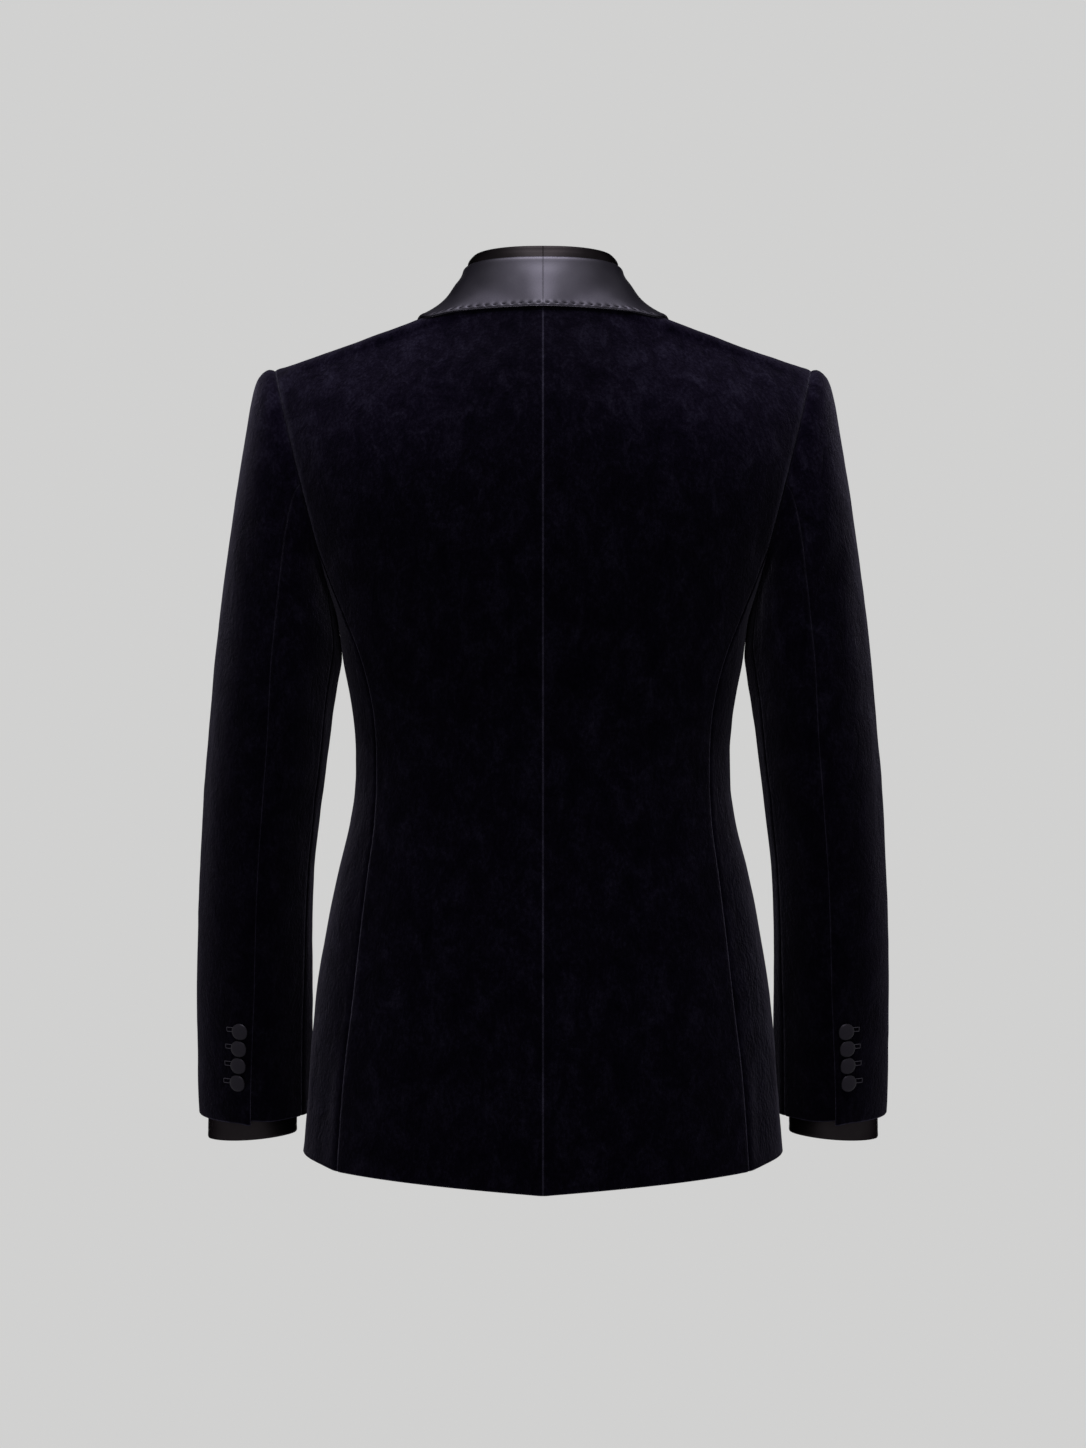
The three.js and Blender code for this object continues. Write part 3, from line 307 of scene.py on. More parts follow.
def panel_point(across, up, hem, yoke, top, edge_of, neck_from, seam, angles, bulge, drop, from_angle_of):
    beside, armhole, neck = np.minimum(up, 1), np.clip(up - 1, 0, 1), np.maximum(up - 2, 0)
    z = np.where(up < 1, mix(hem, yoke, beside), mix(yoke, top, armhole))
    start = np.where((up < 2)[..., None], edge_of(z), neck_point(mix(neck_from, NECK_SHARE, neck)))
    angle = mix(mix(angles[0], angles[1], armhole), angles[2], neck)
    end = np.where((up < 1)[..., None], side_point(seam + 0 * up, beside), armhole_point(angle))
    level = np.minimum((start[..., 2] + end[..., 2]) / 2, yoke - drop)
    seam_turn = back_angle(section(level)["seam"], level) if seam == 0 else front_seam_angle(level)
    turn = mix(seam_turn, math.radians(bulge), smoothstep(1, 3, up))
    return sagged(
        row_point(across, start, end, from_angle_of(z, level), turn, level), start, end, smoothstep(2, 3, up)
    )


def back_point(across, up):
    return panel_point(
        across, up, HEM_BACK, BACK_YOKE, NAPE[2], lambda z: body_point(0 * z, z), 0.0, 0.0,
        (BACK_SEAM_ARMHOLE, BACK_SHOULDER, 0), BACK_BULGE, 7, lambda z, level: 0 * z,
    )


def front_point(across, up):
    return panel_point(
        across, up, HEM_FRONT, FRONT_YOKE, NECK_BREAK, front_edge_point, NECK_BREAK_ALONG, 1.0,
        (FRONT_SEAM_ARMHOLE, FRONT_SHOULDER, 360), FRONT_BULGE, 2,
        lambda z, level: front_angle(front_edge(np.minimum(z, NECK_BREAK))["x"], level),
    )


def top_sleeve_point(across, at):
    seam = sleeve_seam(at)
    point = sleeve_point(np.radians(mix(seam["inner"] - 360, seam["hind"], across)), at)
    lift = VENT_LIFT * smoothstep(0.86, 1, across) * smoothstep(VENT_TOP - 0.4, VENT_TOP + 0.4, at)
    point = point + unit(point - sleeve_middle(at)) * lift[..., None]
    # The vent's corner hangs a little below the under sleeve.
    point[..., 2] -= 1.5 * smoothstep(0.93, 1, across) * smoothstep(14.2, SLEEVE_HEM, at)
    return point


def under_sleeve_point(across, at):
    seam = sleeve_seam(at)
    point = sleeve_point(np.radians(mix(seam["hind"], seam["inner"], across)), at)
    point[..., 2] += 2.4 * (1 - smoothstep(0, 0.5, across)) * smoothstep(14.2, SLEEVE_HEM, at)
    return point


def tucked(p):
    x, z = p[..., 0], p[..., 2]
    share = smoothstep(-590, -500, z) * (1 - smoothstep(-300, -225, z))
    p = p.copy()
    p[..., 1] += OVERLAP_TUCK * (1 - smoothstep(16, 84, x)) * share
    return p


# Grids of cloth


def trough_depth(p, troughs):
    depth = np.zeros(p.shape[:-1])
    for start, end, width, deep in troughs:
        start, end = np.array(start, float), np.array(end, float)
        line = end - start
        t = np.clip(((p - start) @ line) / (line @ line), 0, 1)
        away = np.linalg.norm(p - (start + t[..., None] * line), axis=-1)
        depth += deep * np.exp(-((away / width) ** 2)) * np.sin(math.pi * mix(0.1, 1, t)) ** 0.5
    return depth


def normals_of(grid, outward):
    across = np.gradient(grid, axis=1)
    up = np.gradient(grid, axis=0)
    return outward * unit(np.cross(across, up))


def along_edges(count, fine, length):
    """Places from 0 to 1: a few fine steps of given millimetres at both ends, and even ones between."""
    near = np.array(fine) / length
    middle = np.linspace(near[-1], 1 - near[-1], count)[1:-1]
    return np.concatenate([near, middle, 1 - near[::-1]])


def measured(grid):
    """Each point's distance from the grid's four rims, along the cloth."""
    step_across = np.linalg.norm(np.diff(grid, axis=1), axis=-1)
    step_up = np.linalg.norm(np.diff(grid, axis=0), axis=-1)
    left = np.concatenate([np.zeros((len(grid), 1)), np.cumsum(step_across, axis=1)], axis=1)
    low = np.concatenate([np.zeros((1, grid.shape[1])), np.cumsum(step_up, axis=0)], axis=0)
    return left, left[:, -1:] - left, low, low[-1:] - low


def value_noise(p, scale, seed):
    """A smooth random value from -1 to 1 at each point."""
    rng = np.random.default_rng(seed)
    table = rng.uniform(-1, 1, 4096)
    q = p / scale
    base = np.floor(q).astype(int)
    f = q - base
    f = f * f * (3 - 2 * f)
    total = np.zeros(p.shape[:-1])
    for corner in range(8):
        offset = np.array([corner & 1, corner >> 1 & 1, corner >> 2 & 1])
        cell = base + offset
        key = (cell[..., 0] * 73856093 ^ cell[..., 1] * 19349663 ^ cell[..., 2] * 83492791) & 4095
        weight = np.prod(np.where(offset == 1, f, 1 - f), axis=-1)
        total += weight * table[key]
    return total


FINE = [0, 0.35, 0.8, 1.4, 2.2, 3.2, 4.6, 6.5, 9]


def seam_profile(distance, deep=0.95, wide=1.1, puff=0.28):
    """The cloth rolls down into a seam and stands a little proud beside it."""
    return -deep * np.exp(-((distance / wide) ** 2)) + puff * np.exp(-(((distance - 4.5) / 2.6) ** 2))


def hem_profile(distance):
    return -0.85 * np.exp(-((distance / 0.8) ** 2)) - 0.12 * np.exp(-(((distance - 32) / 5) ** 2))


def make_mesh(name, vertices, faces, materials, face_materials=None, smooth=True):
    mesh = bpy.data.meshes.new(name)
    mesh.from_pydata((np.asarray(vertices) * 0.001).tolist(), [], np.asarray(faces).tolist())
    for material in materials:
        mesh.materials.append(material)
    if face_materials is not None:
        mesh.polygons.foreach_set("material_index", np.asarray(face_materials, dtype=np.int32))
    mesh.polygons.foreach_set("use_smooth", np.full(len(mesh.polygons), smooth))
    mesh.update()
    piece = bpy.data.objects.new(name, mesh)
    bpy.context.scene.collection.objects.link(piece)
    return piece


def wall_mesh(name, outer, inner, outward, mirrored, materials, ring=False, rim_light=None):
    """A closed wall of cloth: its face, its back, and a rim round them."""
    rows, columns = outer.shape[:2]
    vertices = np.concatenate([outer.reshape(-1, 3), inner.reshape(-1, 3)])
    flip = outward < 0
    if mirrored:
        vertices = vertices * (-1, 1, 1)
        flip = not flip
    spans = columns if ring else columns - 1
    i, j = np.meshgrid(np.arange(rows - 1), np.arange(spans), indexing="ij")
    i, j = i.ravel(), j.ravel()
    k = (j + 1) % columns
    face = np.stack([i * columns + j, i * columns + k, (i + 1) * columns + k, (i + 1) * columns + j], 1)
    back = face[:, ::-1] + rows * columns
    rims = []

    def rim(a, b):
        offset = rows * columns
        rims.append(np.stack([b[:-1], a[:-1], a[1:], b[1:]], 1) if offset else a)

    top = np.arange(columns + (1 if ring else 0)) % columns
    last = (rows - 1) * columns + top
    inner_of = rows * columns
    rim(top, top + inner_of)
    rim(last[::-1], last[::-1] + inner_of)
    if not ring:
        side = np.arange(rows) * columns
        rim(side[::-1], side[::-1] + inner_of)
        rim(side + columns - 1, side + columns - 1 + inner_of)
    rims = np.concatenate(rims)
    faces = np.concatenate([face, back, rims])
    if flip:
        faces = faces[:, ::-1]
    index = np.concatenate([np.zeros(len(face)), np.ones(len(back)), np.zeros(len(rims))])
    piece = make_mesh(name, vertices, faces, materials, index if len(materials) > 1 else None)
    # Painted highlight: each face point's share of the lighter rim colour, kept as the 'rim' attribute
    if rim_light is not None:
        painted_rim_highlight = piece.data.attributes.new("rim", "FLOAT", "POINT")
        painted_rim_highlight.data.foreach_set("value", np.concatenate([rim_light.ravel(), np.zeros(inner.shape[0] * inner.shape[1])]))
    return piece


# Materials


def new_material(name):
    material = bpy.data.materials.new(name)
    material.use_nodes = True
    return material, material.node_tree.nodes, material.node_tree.links


def node(nodes, kind, **values):
    made = nodes.new(kind)
    for key, value in values.items():
        if key in made.inputs:
            made.inputs[key].default_value = value
        else:
            setattr(made, key, value)
    return made


def ramp_of(nodes, stops):
    ramp = nodes.new("ShaderNodeValToRGB")
    elements = ramp.color_ramp.elements
    while len(elements) > 1:
        elements.remove(elements[-1])
    elements[0].position, elements[0].color = stops[0][0], (*stops[0][1], 1)
    for place, colour in stops[1:]:
        elements.new(place).color = (*colour, 1)
    return ramp


def velvet_material():
    """Short dense nap: almost black face on, with a soft navy bloom where it turns away or is brushed, painted light
    over the shoulders and a painted highlight along the seams and hems.
    """
    material, nodes, links = new_material("velvet")
    shader = nodes["Principled BSDF"]
    shader.inputs["Roughness"].default_value = 0.95
    shader.inputs["Specular IOR Level"].default_value = 0.0
    shader.inputs["Sheen Weight"].default_value = 0.056
    shader.inputs["Sheen Roughness"].default_value = 0.42
    shader.inputs["Sheen Tint"].default_value = (0.79, 0.73, 1.0, 1)
    place = nodes.new("ShaderNodeTexCoord")
    lay = node(nodes, "ShaderNodeMapping")
    lay.inputs["Scale"].default_value = (1, 1, 0.62)
    links.new(place.outputs["Object"], lay.inputs["Vector"])
    brushed = node(nodes, "ShaderNodeTexNoise", Scale=62.0, Detail=6.0, Roughness=0.66, Distortion=0.6)
    links.new(lay.outputs["Vector"], brushed.inputs["Vector"])
    tufts = node(nodes, "ShaderNodeTexNoise", Scale=420.0, Detail=3.0, Roughness=0.7)
    links.new(lay.outputs["Vector"], tufts.inputs["Vector"])
    blend = node(nodes, "ShaderNodeMix", data_type="FLOAT")
    blend.inputs[0].default_value = 0.42
    links.new(brushed.outputs["Fac"], blend.inputs[2])
    links.new(tufts.outputs["Fac"], blend.inputs[3])
    tone = ramp_of(nodes, [
        (0.36, (0.0003, 0.0002, 0.0008)), (0.5, (0.0010, 0.0007, 0.0020)), (0.58, (0.0020, 0.0016, 0.0037)),
        (0.72, (0.0046, 0.0040, 0.0076)),
    ])
    links.new(blend.outputs[0], tone.inputs["Fac"])
    # Painted light: the colour is made lighter up the back and out over the shoulders, as though lit from above.
    split = nodes.new("ShaderNodeSeparateXYZ")
    links.new(place.outputs["Object"], split.inputs["Vector"])
    height = node(nodes, "ShaderNodeMapRange", interpolation_type="SMOOTHSTEP")
    for key, value in (("From Min", -0.16), ("From Max", 0.005), ("To Min", 0.0), ("To Max", 1.0)):
        height.inputs[key].default_value = value
    aside = node(nodes, "ShaderNodeMath", operation="ABSOLUTE")
    links.new(split.outputs["X"], aside.inputs[0])
    below_ridge = node(nodes, "ShaderNodeMath", operation="MULTIPLY_ADD")
    links.new(aside.outputs[0], below_ridge.inputs[0])
    below_ridge.inputs[1].default_value = 0.3
    links.new(split.outputs["Z"], below_ridge.inputs[2])
    links.new(below_ridge.outputs[0], height.inputs["Value"])
    spread = node(nodes, "ShaderNodeMapRange", interpolation_type="SMOOTHSTEP")
    for key, value in (("From Min", 0.02), ("From Max", 0.12), ("To Min", 0.3), ("To Max", 1.25)):
        spread.inputs[key].default_value = value
    links.new(aside.outputs[0], spread.inputs["Value"])
    lift = node(nodes, "ShaderNodeMath", operation="MULTIPLY_ADD")
    links.new(height.outputs["Result"], lift.inputs[0])
    links.new(spread.outputs["Result"], lift.inputs[1])
    lift.inputs[2].default_value = 0.95
    # Painted light from above, multiplied into the velvet's colour
    painted_top_light = node(nodes, "ShaderNodeMix", data_type="RGBA", blend_type="MULTIPLY")
    painted_top_light.inputs[0].default_value = 1.0
    links.new(tone.outputs["Color"], painted_top_light.inputs[6])
    links.new(lift.outputs[0], painted_top_light.inputs[7])
    # Painted highlight on the rims of the pieces: a lighter colour along the seams and hems, where the rolled cloth
    # would catch the light
    rim = node(nodes, "ShaderNodeAttribute", attribute_name="rim")
    patchy = node(nodes, "ShaderNodeMapRange")
    for key, value in (("From Min", 0.36), ("From Max", 0.6), ("To Min", 0.25), ("To Max", 1.0)):
        patchy.inputs[key].default_value = value
    links.new(blend.outputs[0], patchy.inputs["Value"])
    painted_rim_highlight = node(nodes, "ShaderNodeMath", operation="MULTIPLY")
    links.new(rim.outputs["Fac"], painted_rim_highlight.inputs[0])
    links.new(patchy.outputs["Result"], painted_rim_highlight.inputs[1])
    edge = node(nodes, "ShaderNodeMix", data_type="RGBA")
    links.new(painted_rim_highlight.outputs[0], edge.inputs[0])
    links.new(painted_top_light.outputs[2], edge.inputs[6])
    edge.inputs[7].default_value = (0.036, 0.033, 0.054, 1)
    links.new(edge.outputs[2], shader.inputs["Base Color"])
    soft = node(nodes, "ShaderNodeBump", Strength=0.4, Distance=0.004)
    links.new(brushed.outputs["Fac"], soft.inputs["Height"])
    bump = node(nodes, "ShaderNodeBump", Strength=0.6, Distance=0.0012)
    links.new(tufts.outputs["Fac"], bump.inputs["Height"])
    links.new(soft.outputs["Normal"], bump.inputs["Normal"])
    links.new(bump.outputs["Normal"], shader.inputs["Normal"])
    return material


def painted_shade_along(nodes, links, place, axis, start, end, before, after):
    """Painted shade along an axis: the colour is scaled from one value to another with the distance from the middle.
    """
    split = nodes.new("ShaderNodeSeparateXYZ")
    links.new(place.outputs["Object"], split.inputs["Vector"])
    aside = node(nodes, "ShaderNodeMath", operation="ABSOLUTE")
    links.new(split.outputs[axis], aside.inputs[0])
    share = node(nodes, "ShaderNodeMapRange", interpolation_type="SMOOTHSTEP")
    for key, value in (("From Min", start), ("From Max", end), ("To Min", before), ("To Max", after)):
        share.inputs[key].default_value = value
    links.new(aside.outputs[0], share.inputs["Value"])
    mixed = node(nodes, "ShaderNodeMix", data_type="RGBA", blend_type="MULTIPLY")
    mixed.inputs[0].default_value = 1.0
    links.new(share.outputs["Result"], mixed.inputs[7])
    return mixed


def satin_material(name, dark, light, roughness, weave=1500.0, strength=0.08, edge=0.3, painted_shade=None):
    """Fine satin: close floats that give one soft bright streak, with slightly uneven threads, and where given a
    painted shade along an axis.
    """
    material, nodes, links = new_material(name)
    shader = nodes["Principled BSDF"]
    shader.inputs["Metallic"].default_value = 1.0
    shader.inputs["Specular Tint"].default_value = (edge, edge, edge, 1)
    place = nodes.new("ShaderNodeTexCoord")
    slubs = node(nodes, "ShaderNodeTexNoise", Scale=26.0, Detail=4.0, Roughness=0.6)
    links.new(place.outputs["Object"], slubs.inputs["Vector"])
    tone = ramp_of(nodes, [(0.3, dark), (0.75, light)])
    links.new(slubs.outputs["Fac"], tone.inputs["Fac"])
    if painted_shade is None:
        links.new(tone.outputs["Color"], shader.inputs["Base Color"])
    else:
        shaded_tone = painted_shade_along(nodes, links, place, *painted_shade)
        links.new(tone.outputs["Color"], shaded_tone.inputs[6])
        links.new(shaded_tone.outputs[2], shader.inputs["Base Color"])
    rough = node(nodes, "ShaderNodeMapRange")
    rough.inputs["To Min"].default_value = roughness - 0.04
    rough.inputs["To Max"].default_value = roughness + 0.05
    links.new(slubs.outputs["Fac"], rough.inputs["Value"])
    links.new(rough.outputs["Result"], shader.inputs["Roughness"])
    stretch = node(nodes, "ShaderNodeMapping")
    stretch.inputs["Scale"].default_value = (1, 1, 0.3)
    links.new(place.outputs["Object"], stretch.inputs["Vector"])
    threads = node(nodes, "ShaderNodeTexNoise", Scale=weave, Detail=1.0)
    links.new(stretch.outputs["Vector"], threads.inputs["Vector"])
    bump = node(nodes, "ShaderNodeBump", Strength=strength, Distance=0.0004)
    links.new(threads.outputs["Fac"], bump.inputs["Height"])
    links.new(bump.outputs["Normal"], shader.inputs["Normal"])
    return material


velvet = velvet_material()
# Painted shade: the collar's satin darker beyond 26 mm from the middle, so its highlight stays in the middle
COLLAR_PAINTED_SHADE = ("X", 0.026, 0.056, 1.0, 0.62)
# Painted shade: the satin darker near the top, on the neckband, than lower down on the cuffs
NECKBAND_PAINTED_SHADE = ("Z", 0.1, 0.4, 0.6, 1.0)
satin = satin_material("satin", (0.038, 0.035, 0.046), (0.050, 0.047, 0.059), 0.5, painted_shade=COLLAR_PAINTED_SHADE)
button_satin = satin_material("button_satin", (0.0155, 0.0142, 0.0188), (0.022, 0.020, 0.026), 0.46, edge=0.9)
inner_black = satin_material("inner_black", (0.014, 0.0118, 0.0132), (0.021, 0.0182, 0.0200), 0.46, painted_shade=NECKBAND_PAINTED_SHADE)
reverse = satin_material("reverse", (0.010, 0.0095, 0.0125), (0.015, 0.0145, 0.019), 0.6)
pick_thread = satin_material("pick_thread", (0.006, 0.0055, 0.008), (0.010, 0.009, 0.013), 0.55, 3000.0)
stitch_thread = satin_material("stitch_thread", (0.045, 0.042, 0.053), (0.062, 0.058, 0.072), 0.5, 3000.0)

SIDES = (("left", False), ("right", True))


def dress(piece, replaced):
    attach(piece, "root")
    if replaced:
        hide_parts(*replaced)
    return piece


# Body panels


def up_places(length_beside, length_neck, rows):
    """Places up a panel: fine at the hem, even beside the seam and the armhole, and fine at the shoulder."""
    hem = np.array(FINE) / length_beside
    beside = np.linspace(hem[-1], 1, rows[0] + 1)[1:]
    armhole = np.linspace(1, 2, rows[1] + 1)[1:]
    shoulder = 3 - np.array(FINE)[::-1] / length_neck
    neck = np.linspace(2, shoulder[0], rows[2] + 1)[1:-1]
    return np.concatenate([hem, beside, armhole, neck, shoulder])


def even_grid(point_at, ups, count, fine=FINE):
    """A grid whose columns near both side rims lie at the same distances from them in every row."""
    probe = np.linspace(0, 1, 160)
    a, u = np.meshgrid(probe, ups)
    rough = point_at(a, u)
    length = np.concatenate(
        [np.zeros((len(ups), 1)), np.cumsum(np.linalg.norm(np.diff(rough, axis=1), axis=-1), axis=1)], axis=1
    )
    across = np.empty((len(ups), 2 * len(fine) + count - 2))
    for i, row in enumerate(length):
        across[i] = np.interp(along_edges(count, fine, row[-1]) * row[-1], row, probe)
    return point_at(across, np.repeat(ups[:, None], across.shape[1], axis=1))


def body_middle(grid):
    return grid * (0, 0, 1)


def fold_in(grid, middle, troughs):
    return grid + unit(middle - grid) * trough_depth(grid, troughs)[..., None]


def finish_panel(grid, outward, thickness, seams, noise_seed, lit, middle, highlight_rows=None):
    """Rolls the rims of a panel in, roughens it slightly, and gives its face, its back and the painted highlight
    along its rims.
    """
    left, right, low, high = measured(grid)
    normals = normals_of(grid, outward)
    # Near a seam, the two panels roll in along one shared direction, so that their rims meet.
    away = unit(grid - middle)
    near = np.full(grid.shape[:-1], 1e3)
    for distance, kind in ((left, seams[0]), (right, seams[1]), (low, seams[2]), (high, seams[3])):
        if kind != "edge":
            near = np.minimum(near, distance)
    normals = unit(normals + (away - normals) * (1 - smoothstep(0.5, 6, near))[..., None])
    inside = np.minimum(np.minimum(left, right), np.minimum(low, high))
    calm = smoothstep(0, 12, inside)
    rise = np.zeros(grid.shape[:-1])
    for distance, kind in ((left, seams[0]), (right, seams[1]), (low, seams[2]), (high, seams[3])):
        if kind == "seam":
            rise += seam_profile(distance)
        elif kind == "edge":
            rise += hem_profile(distance)
        elif kind == "pressed":
            rise += seam_profile(distance, 0.45, 0.8, 0)
    rise -= calm * trough_depth(grid, CREASES)
    rise += calm * (0.42 * value_noise(grid, 34, noise_seed) + 0.2 * value_noise(grid, 13, noise_seed + 1))
    face = grid + normals * rise[..., None]
    back = face - normals * thickness
    # Painted highlight along a seam: a lighter colour in a narrow band at the rim.
    painted_rim_highlight = np.zeros(grid.shape[:-1])
    for distance, light, wide in ((left, lit[0], 0.5), (right, lit[1], 0.5), (low, lit[2], 0.8), (high, lit[3], 0.8)):
        painted_rim_highlight = np.maximum(painted_rim_highlight, light * np.exp(-((distance / wide) ** 2)))
    # Painted highlight in a band about 3 mm in from the right rim, over the rows that are given
    if highlight_rows is not None:
        painted_rim_highlight = np.maximum(painted_rim_highlight, 0.27 * np.exp(-(((right - 3.2) / 2.6) ** 2)) * highlight_rows[:, None])
    return face, back, painted_rim_highlight


def panel_pair(name, grid, outward, seams, seed, lit, warp=None, middle=None, highlight_rows=None, nodes=None):
    for side, mirrored in SIDES:
        g = warp(grid) if (warp and mirrored) else grid
        m = body_middle(g) if middle is None else middle
        seed_here = seed + (50 if mirrored else 0)
        face, back, painted_rim_highlight = finish_panel(g, outward, CLOTH, seams, seed_here, lit, m, highlight_rows)
        piece = wall_mesh(f"{name}_{side}_cloth", face, back, outward, mirrored, [velvet, reverse], rim_light=painted_rim_highlight)
        dress(piece, [f"{node}_{side}" for node in nodes or [name]])


back_ups = up_places(520, 90, (92, 30, 14))
back_grid = even_grid(back_point, back_ups, 46)
back_grid = fold_in(back_grid, body_middle(back_grid), FOLDS)
front_ups = up_places(500, 105, (92, 32, 16))
front_grid = even_grid(front_point, front_ups, 50)
front_grid = fold_in(front_grid, body_middle(front_grid), FOLDS)
side_ups = along_edges(96, FINE, 470)
side_grid = even_grid(side_point, side_ups, 26)
side_grid = fold_in(side_grid, body_middle(side_grid), FOLDS)

# Painted highlight beside the back's armhole rim, from the yoke up the armhole
back_highlight_rows = smoothstep(0.93, 1.05, back_ups) * (1 - 0.5 * smoothstep(1.2, 2, back_ups))
back_highlight_rows = back_highlight_rows * (1 - smoothstep(1.95, 2, back_ups))
panel_pair("back", back_grid, -1, ("seam", "seam", "edge", "pressed"), 11, (0.6, 1.0, 0.3, 0),
           highlight_rows=back_highlight_rows)
panel_pair("front", front_grid, 1, ("edge", "seam", "edge", "pressed"), 21, (0.3, 0.6, 0.3, 0), tucked)
panel_pair("side", side_grid, -1, ("seam", "seam", "edge", "seam"), 31, (0.0, 0.1, 0.3, 0))

# Sleeves
sleeve_ats = np.concatenate([
    np.array([0, 0.03, 0.07, 0.13, 0.21, 0.3, 0.4, 0.55, 0.75]), np.linspace(1, 14.7, 118),
    SLEEVE_HEM - np.array(FINE[:-1])[::-1] / 39.0,
])
sleeve_middles = np.repeat(sleeve_middle(sleeve_ats)[:, None, :], 1, axis=1)


def sleeve_grid(point_at, count):
    grid = even_grid(point_at, sleeve_ats, count)
    middle = np.repeat(sleeve_middles, grid.shape[1], axis=1)
    middle[0] = body_middle(grid[0])
    return fold_in(grid, middle, FOLDS), middle


top_grid, top_middle = sleeve_grid(top_sleeve_point, 84)
under_grid, under_middle = sleeve_grid(under_sleeve_point, 20)
TOP_SEAMS, TOP_LIT = ("seam", "seam", "seam", "edge"), (0.1, 0.35, 0.05, 0.75)
panel_pair("top_sleeve", top_grid, -1, TOP_SEAMS, 41, TOP_LIT, middle=top_middle,
           nodes=["top_sleeve_upper", "top_sleeve_lower"])
panel_pair("under_sleeve", under_grid, -1, TOP_SEAMS, 51, (0.0, 0.25, 0.05, 0.6), middle=under_middle)

# The shawl collar


def natural_spline(keys, values, wanted):
    """A natural cubic spline through values (first axis) at keys, read at the wanted places."""
    n = len(keys)
    h = np.diff(keys)
    system = np.eye(n)
    right = np.zeros_like(values)
    slope = np.diff(values, axis=0) / h.reshape(-1, *([1] * (values.ndim - 1)))
    for i in range(1, n - 1):
        system[i, i - 1 : i + 2] = h[i - 1], 2 * (h[i - 1] + h[i]), h[i]
        right[i] = 6 * (slope[i] - slope[i - 1])
    second = np.linalg.solve(system, right.reshape(n, -1)).reshape(values.shape)
    i = np.clip(np.searchsorted(keys, wanted, side="right") - 1, 0, n - 2)
    shape = (-1,) + (1,) * (values.ndim - 1)
    t = (wanted - keys[i]).reshape(shape)
    g = h[i].reshape(shape)
    return (
        values[i]
        + t * (slope[i] - g * (2 * second[i] + second[i + 1]) / 6)
        + t**2 * second[i] / 2
        + t**3 * (second[i + 1] - second[i]) / (6 * g)
    )


cloud_points, cloud_normals = [], []
for point_at, outward in ((back_point, -1), (front_point, 1)):
    a, u = np.meshgrid(np.linspace(0, 0.8, 49), np.linspace(0.6, 3, 111))
    cloud = point_at(a, u)
    cloud_points.append(cloud.reshape(-1, 3))
    cloud_normals.append(normals_of(cloud, outward).reshape(-1, 3))
cloud_points, cloud_normals = np.concatenate(cloud_points), np.concatenate(cloud_normals)


def laid_on(p, distance):
    nearest = np.argmin(((cloud_points - p) ** 2).sum(-1))
    height = (p - cloud_points[nearest]) @ cloud_normals[nearest]
    return p + cloud_normals[nearest] * max(0.0, distance - height)


def collar_off_body(along):
    over_shoulder = smoothstep(0.12, 0.18, along) * (1 - smoothstep(0.28, 0.38, along))
    return float(SATIN + mix(2.2, 1.1, over_shoulder))


def collar_rung(along):
    at = {k: float(v) for k, v in collar_station(along).items()}
    tangent = neck_tangent(np.float64(along))
    out = np.array([at["out_x"], at["out_y"], at["out_z"]])
    out = unit(out - tangent * (out @ tangent))
    tip = np.cross(tangent, out)
    seam = neck_point(np.float64(along))
    sunk = mix(0.8, CLOTH, float(smoothstep(0.2, 0.44, along)))
    drawn = sunk * float(smoothstep(0.2, 0.44, along))
    fold = seam + tip * (at["stand"] + at["fold"]) + out * (at["fold"] - at["lean"] - drawn)
    foot = seam + tip * 0.5 - out * sunk
    inner = fold - (tip + out) * at["fold"]
    outer = fold + (out - tip) * at["fold"]
    edge_at = collar_edge(along)
    edge = laid_on(np.array([float(edge_at[k]) for k in "xyz"]), collar_off_body(along))
    rung = [foot, (foot + inner) / 2, inner]
    for rise, outwards in ((-0.3, -0.72), (0, 0), (-0.3, 0.72)):
        rung.append(fold + tip * rise * at["fold"] + out * outwards * at["fold"])
    rung.append(outer)
    for t in (0.25, 0.5, 0.76):
        bulge = at["bulge"] * 4 * t * (1 - t) * (0.4 + 1.2 * t)
        rung.append(laid_on(mix(outer, edge, t) + out * bulge, collar_off_body(along)))
    rung.append(edge)
    return rung


AROUND_NECK = [*np.linspace(0, 0.14, 5), 0.157, 0.172, 0.186, 0.2, 0.215, 0.23]
COLLAR_ALONG = np.array([*AROUND_NECK, 0.265, 0.3, 0.34, 0.385, 0.44, *np.linspace(0.5, 0.98, 9)])
collar_coarse = np.array([collar_rung(along) for along in COLLAR_ALONG])


def spline_grid(coarse, keys, fine_keys, fine, count, mirrored_start):
    """A coarse grid read finely both ways, with fine steps at the rims of its rows."""
    if mirrored_start:
        mirror = coarse[1:4][::-1] * (-1, 1, 1)
        coarse = np.concatenate([mirror, coarse])
        keys = np.concatenate([-keys[1:4][::-1], keys])
    rows = natural_spline(keys, coarse, fine_keys)
    chord = np.linalg.norm(np.diff(rows, axis=1), axis=-1)
    out = []
    for row, steps in zip(rows, chord):
        places = np.concatenate([[0], np.cumsum(steps)])
        out.append(natural_spline(places, row, along_edges(count, fine, places[-1]) * places[-1]))
    return np.array(out)


collar_keys = np.concatenate([
    np.array([0, 0.0008, 0.0018, 0.0032, 0.005, 0.007]), np.linspace(0.009, 0.967, 510),
    0.98 - np.array([0.009, 0.005, 0.0025, 0.001, 0]),
])
COLLAR_FINE = [0, 0.35, 0.8, 1.3, 1.9, 2.5, 3.1, 3.8, 4.7, 6.2]
collar_grid = spline_grid(collar_coarse, COLLAR_ALONG, collar_keys, COLLAR_FINE, 42, True)
collar_grid[0, :, 0] = 0.0


STITCH_INSET, STITCH_PITCH = 2.8, 7.4


def stitch_length(grid, right):
    """Length along the stitch line at each row of the collar."""
    line = np.array([
        [np.interp(STITCH_INSET, far[::-1], row[::-1, k]) for k in range(3)] for row, far in zip(grid, right)
    ])
    return line, np.concatenate([[0], np.cumsum(np.linalg.norm(np.diff(line, axis=0), axis=1))])


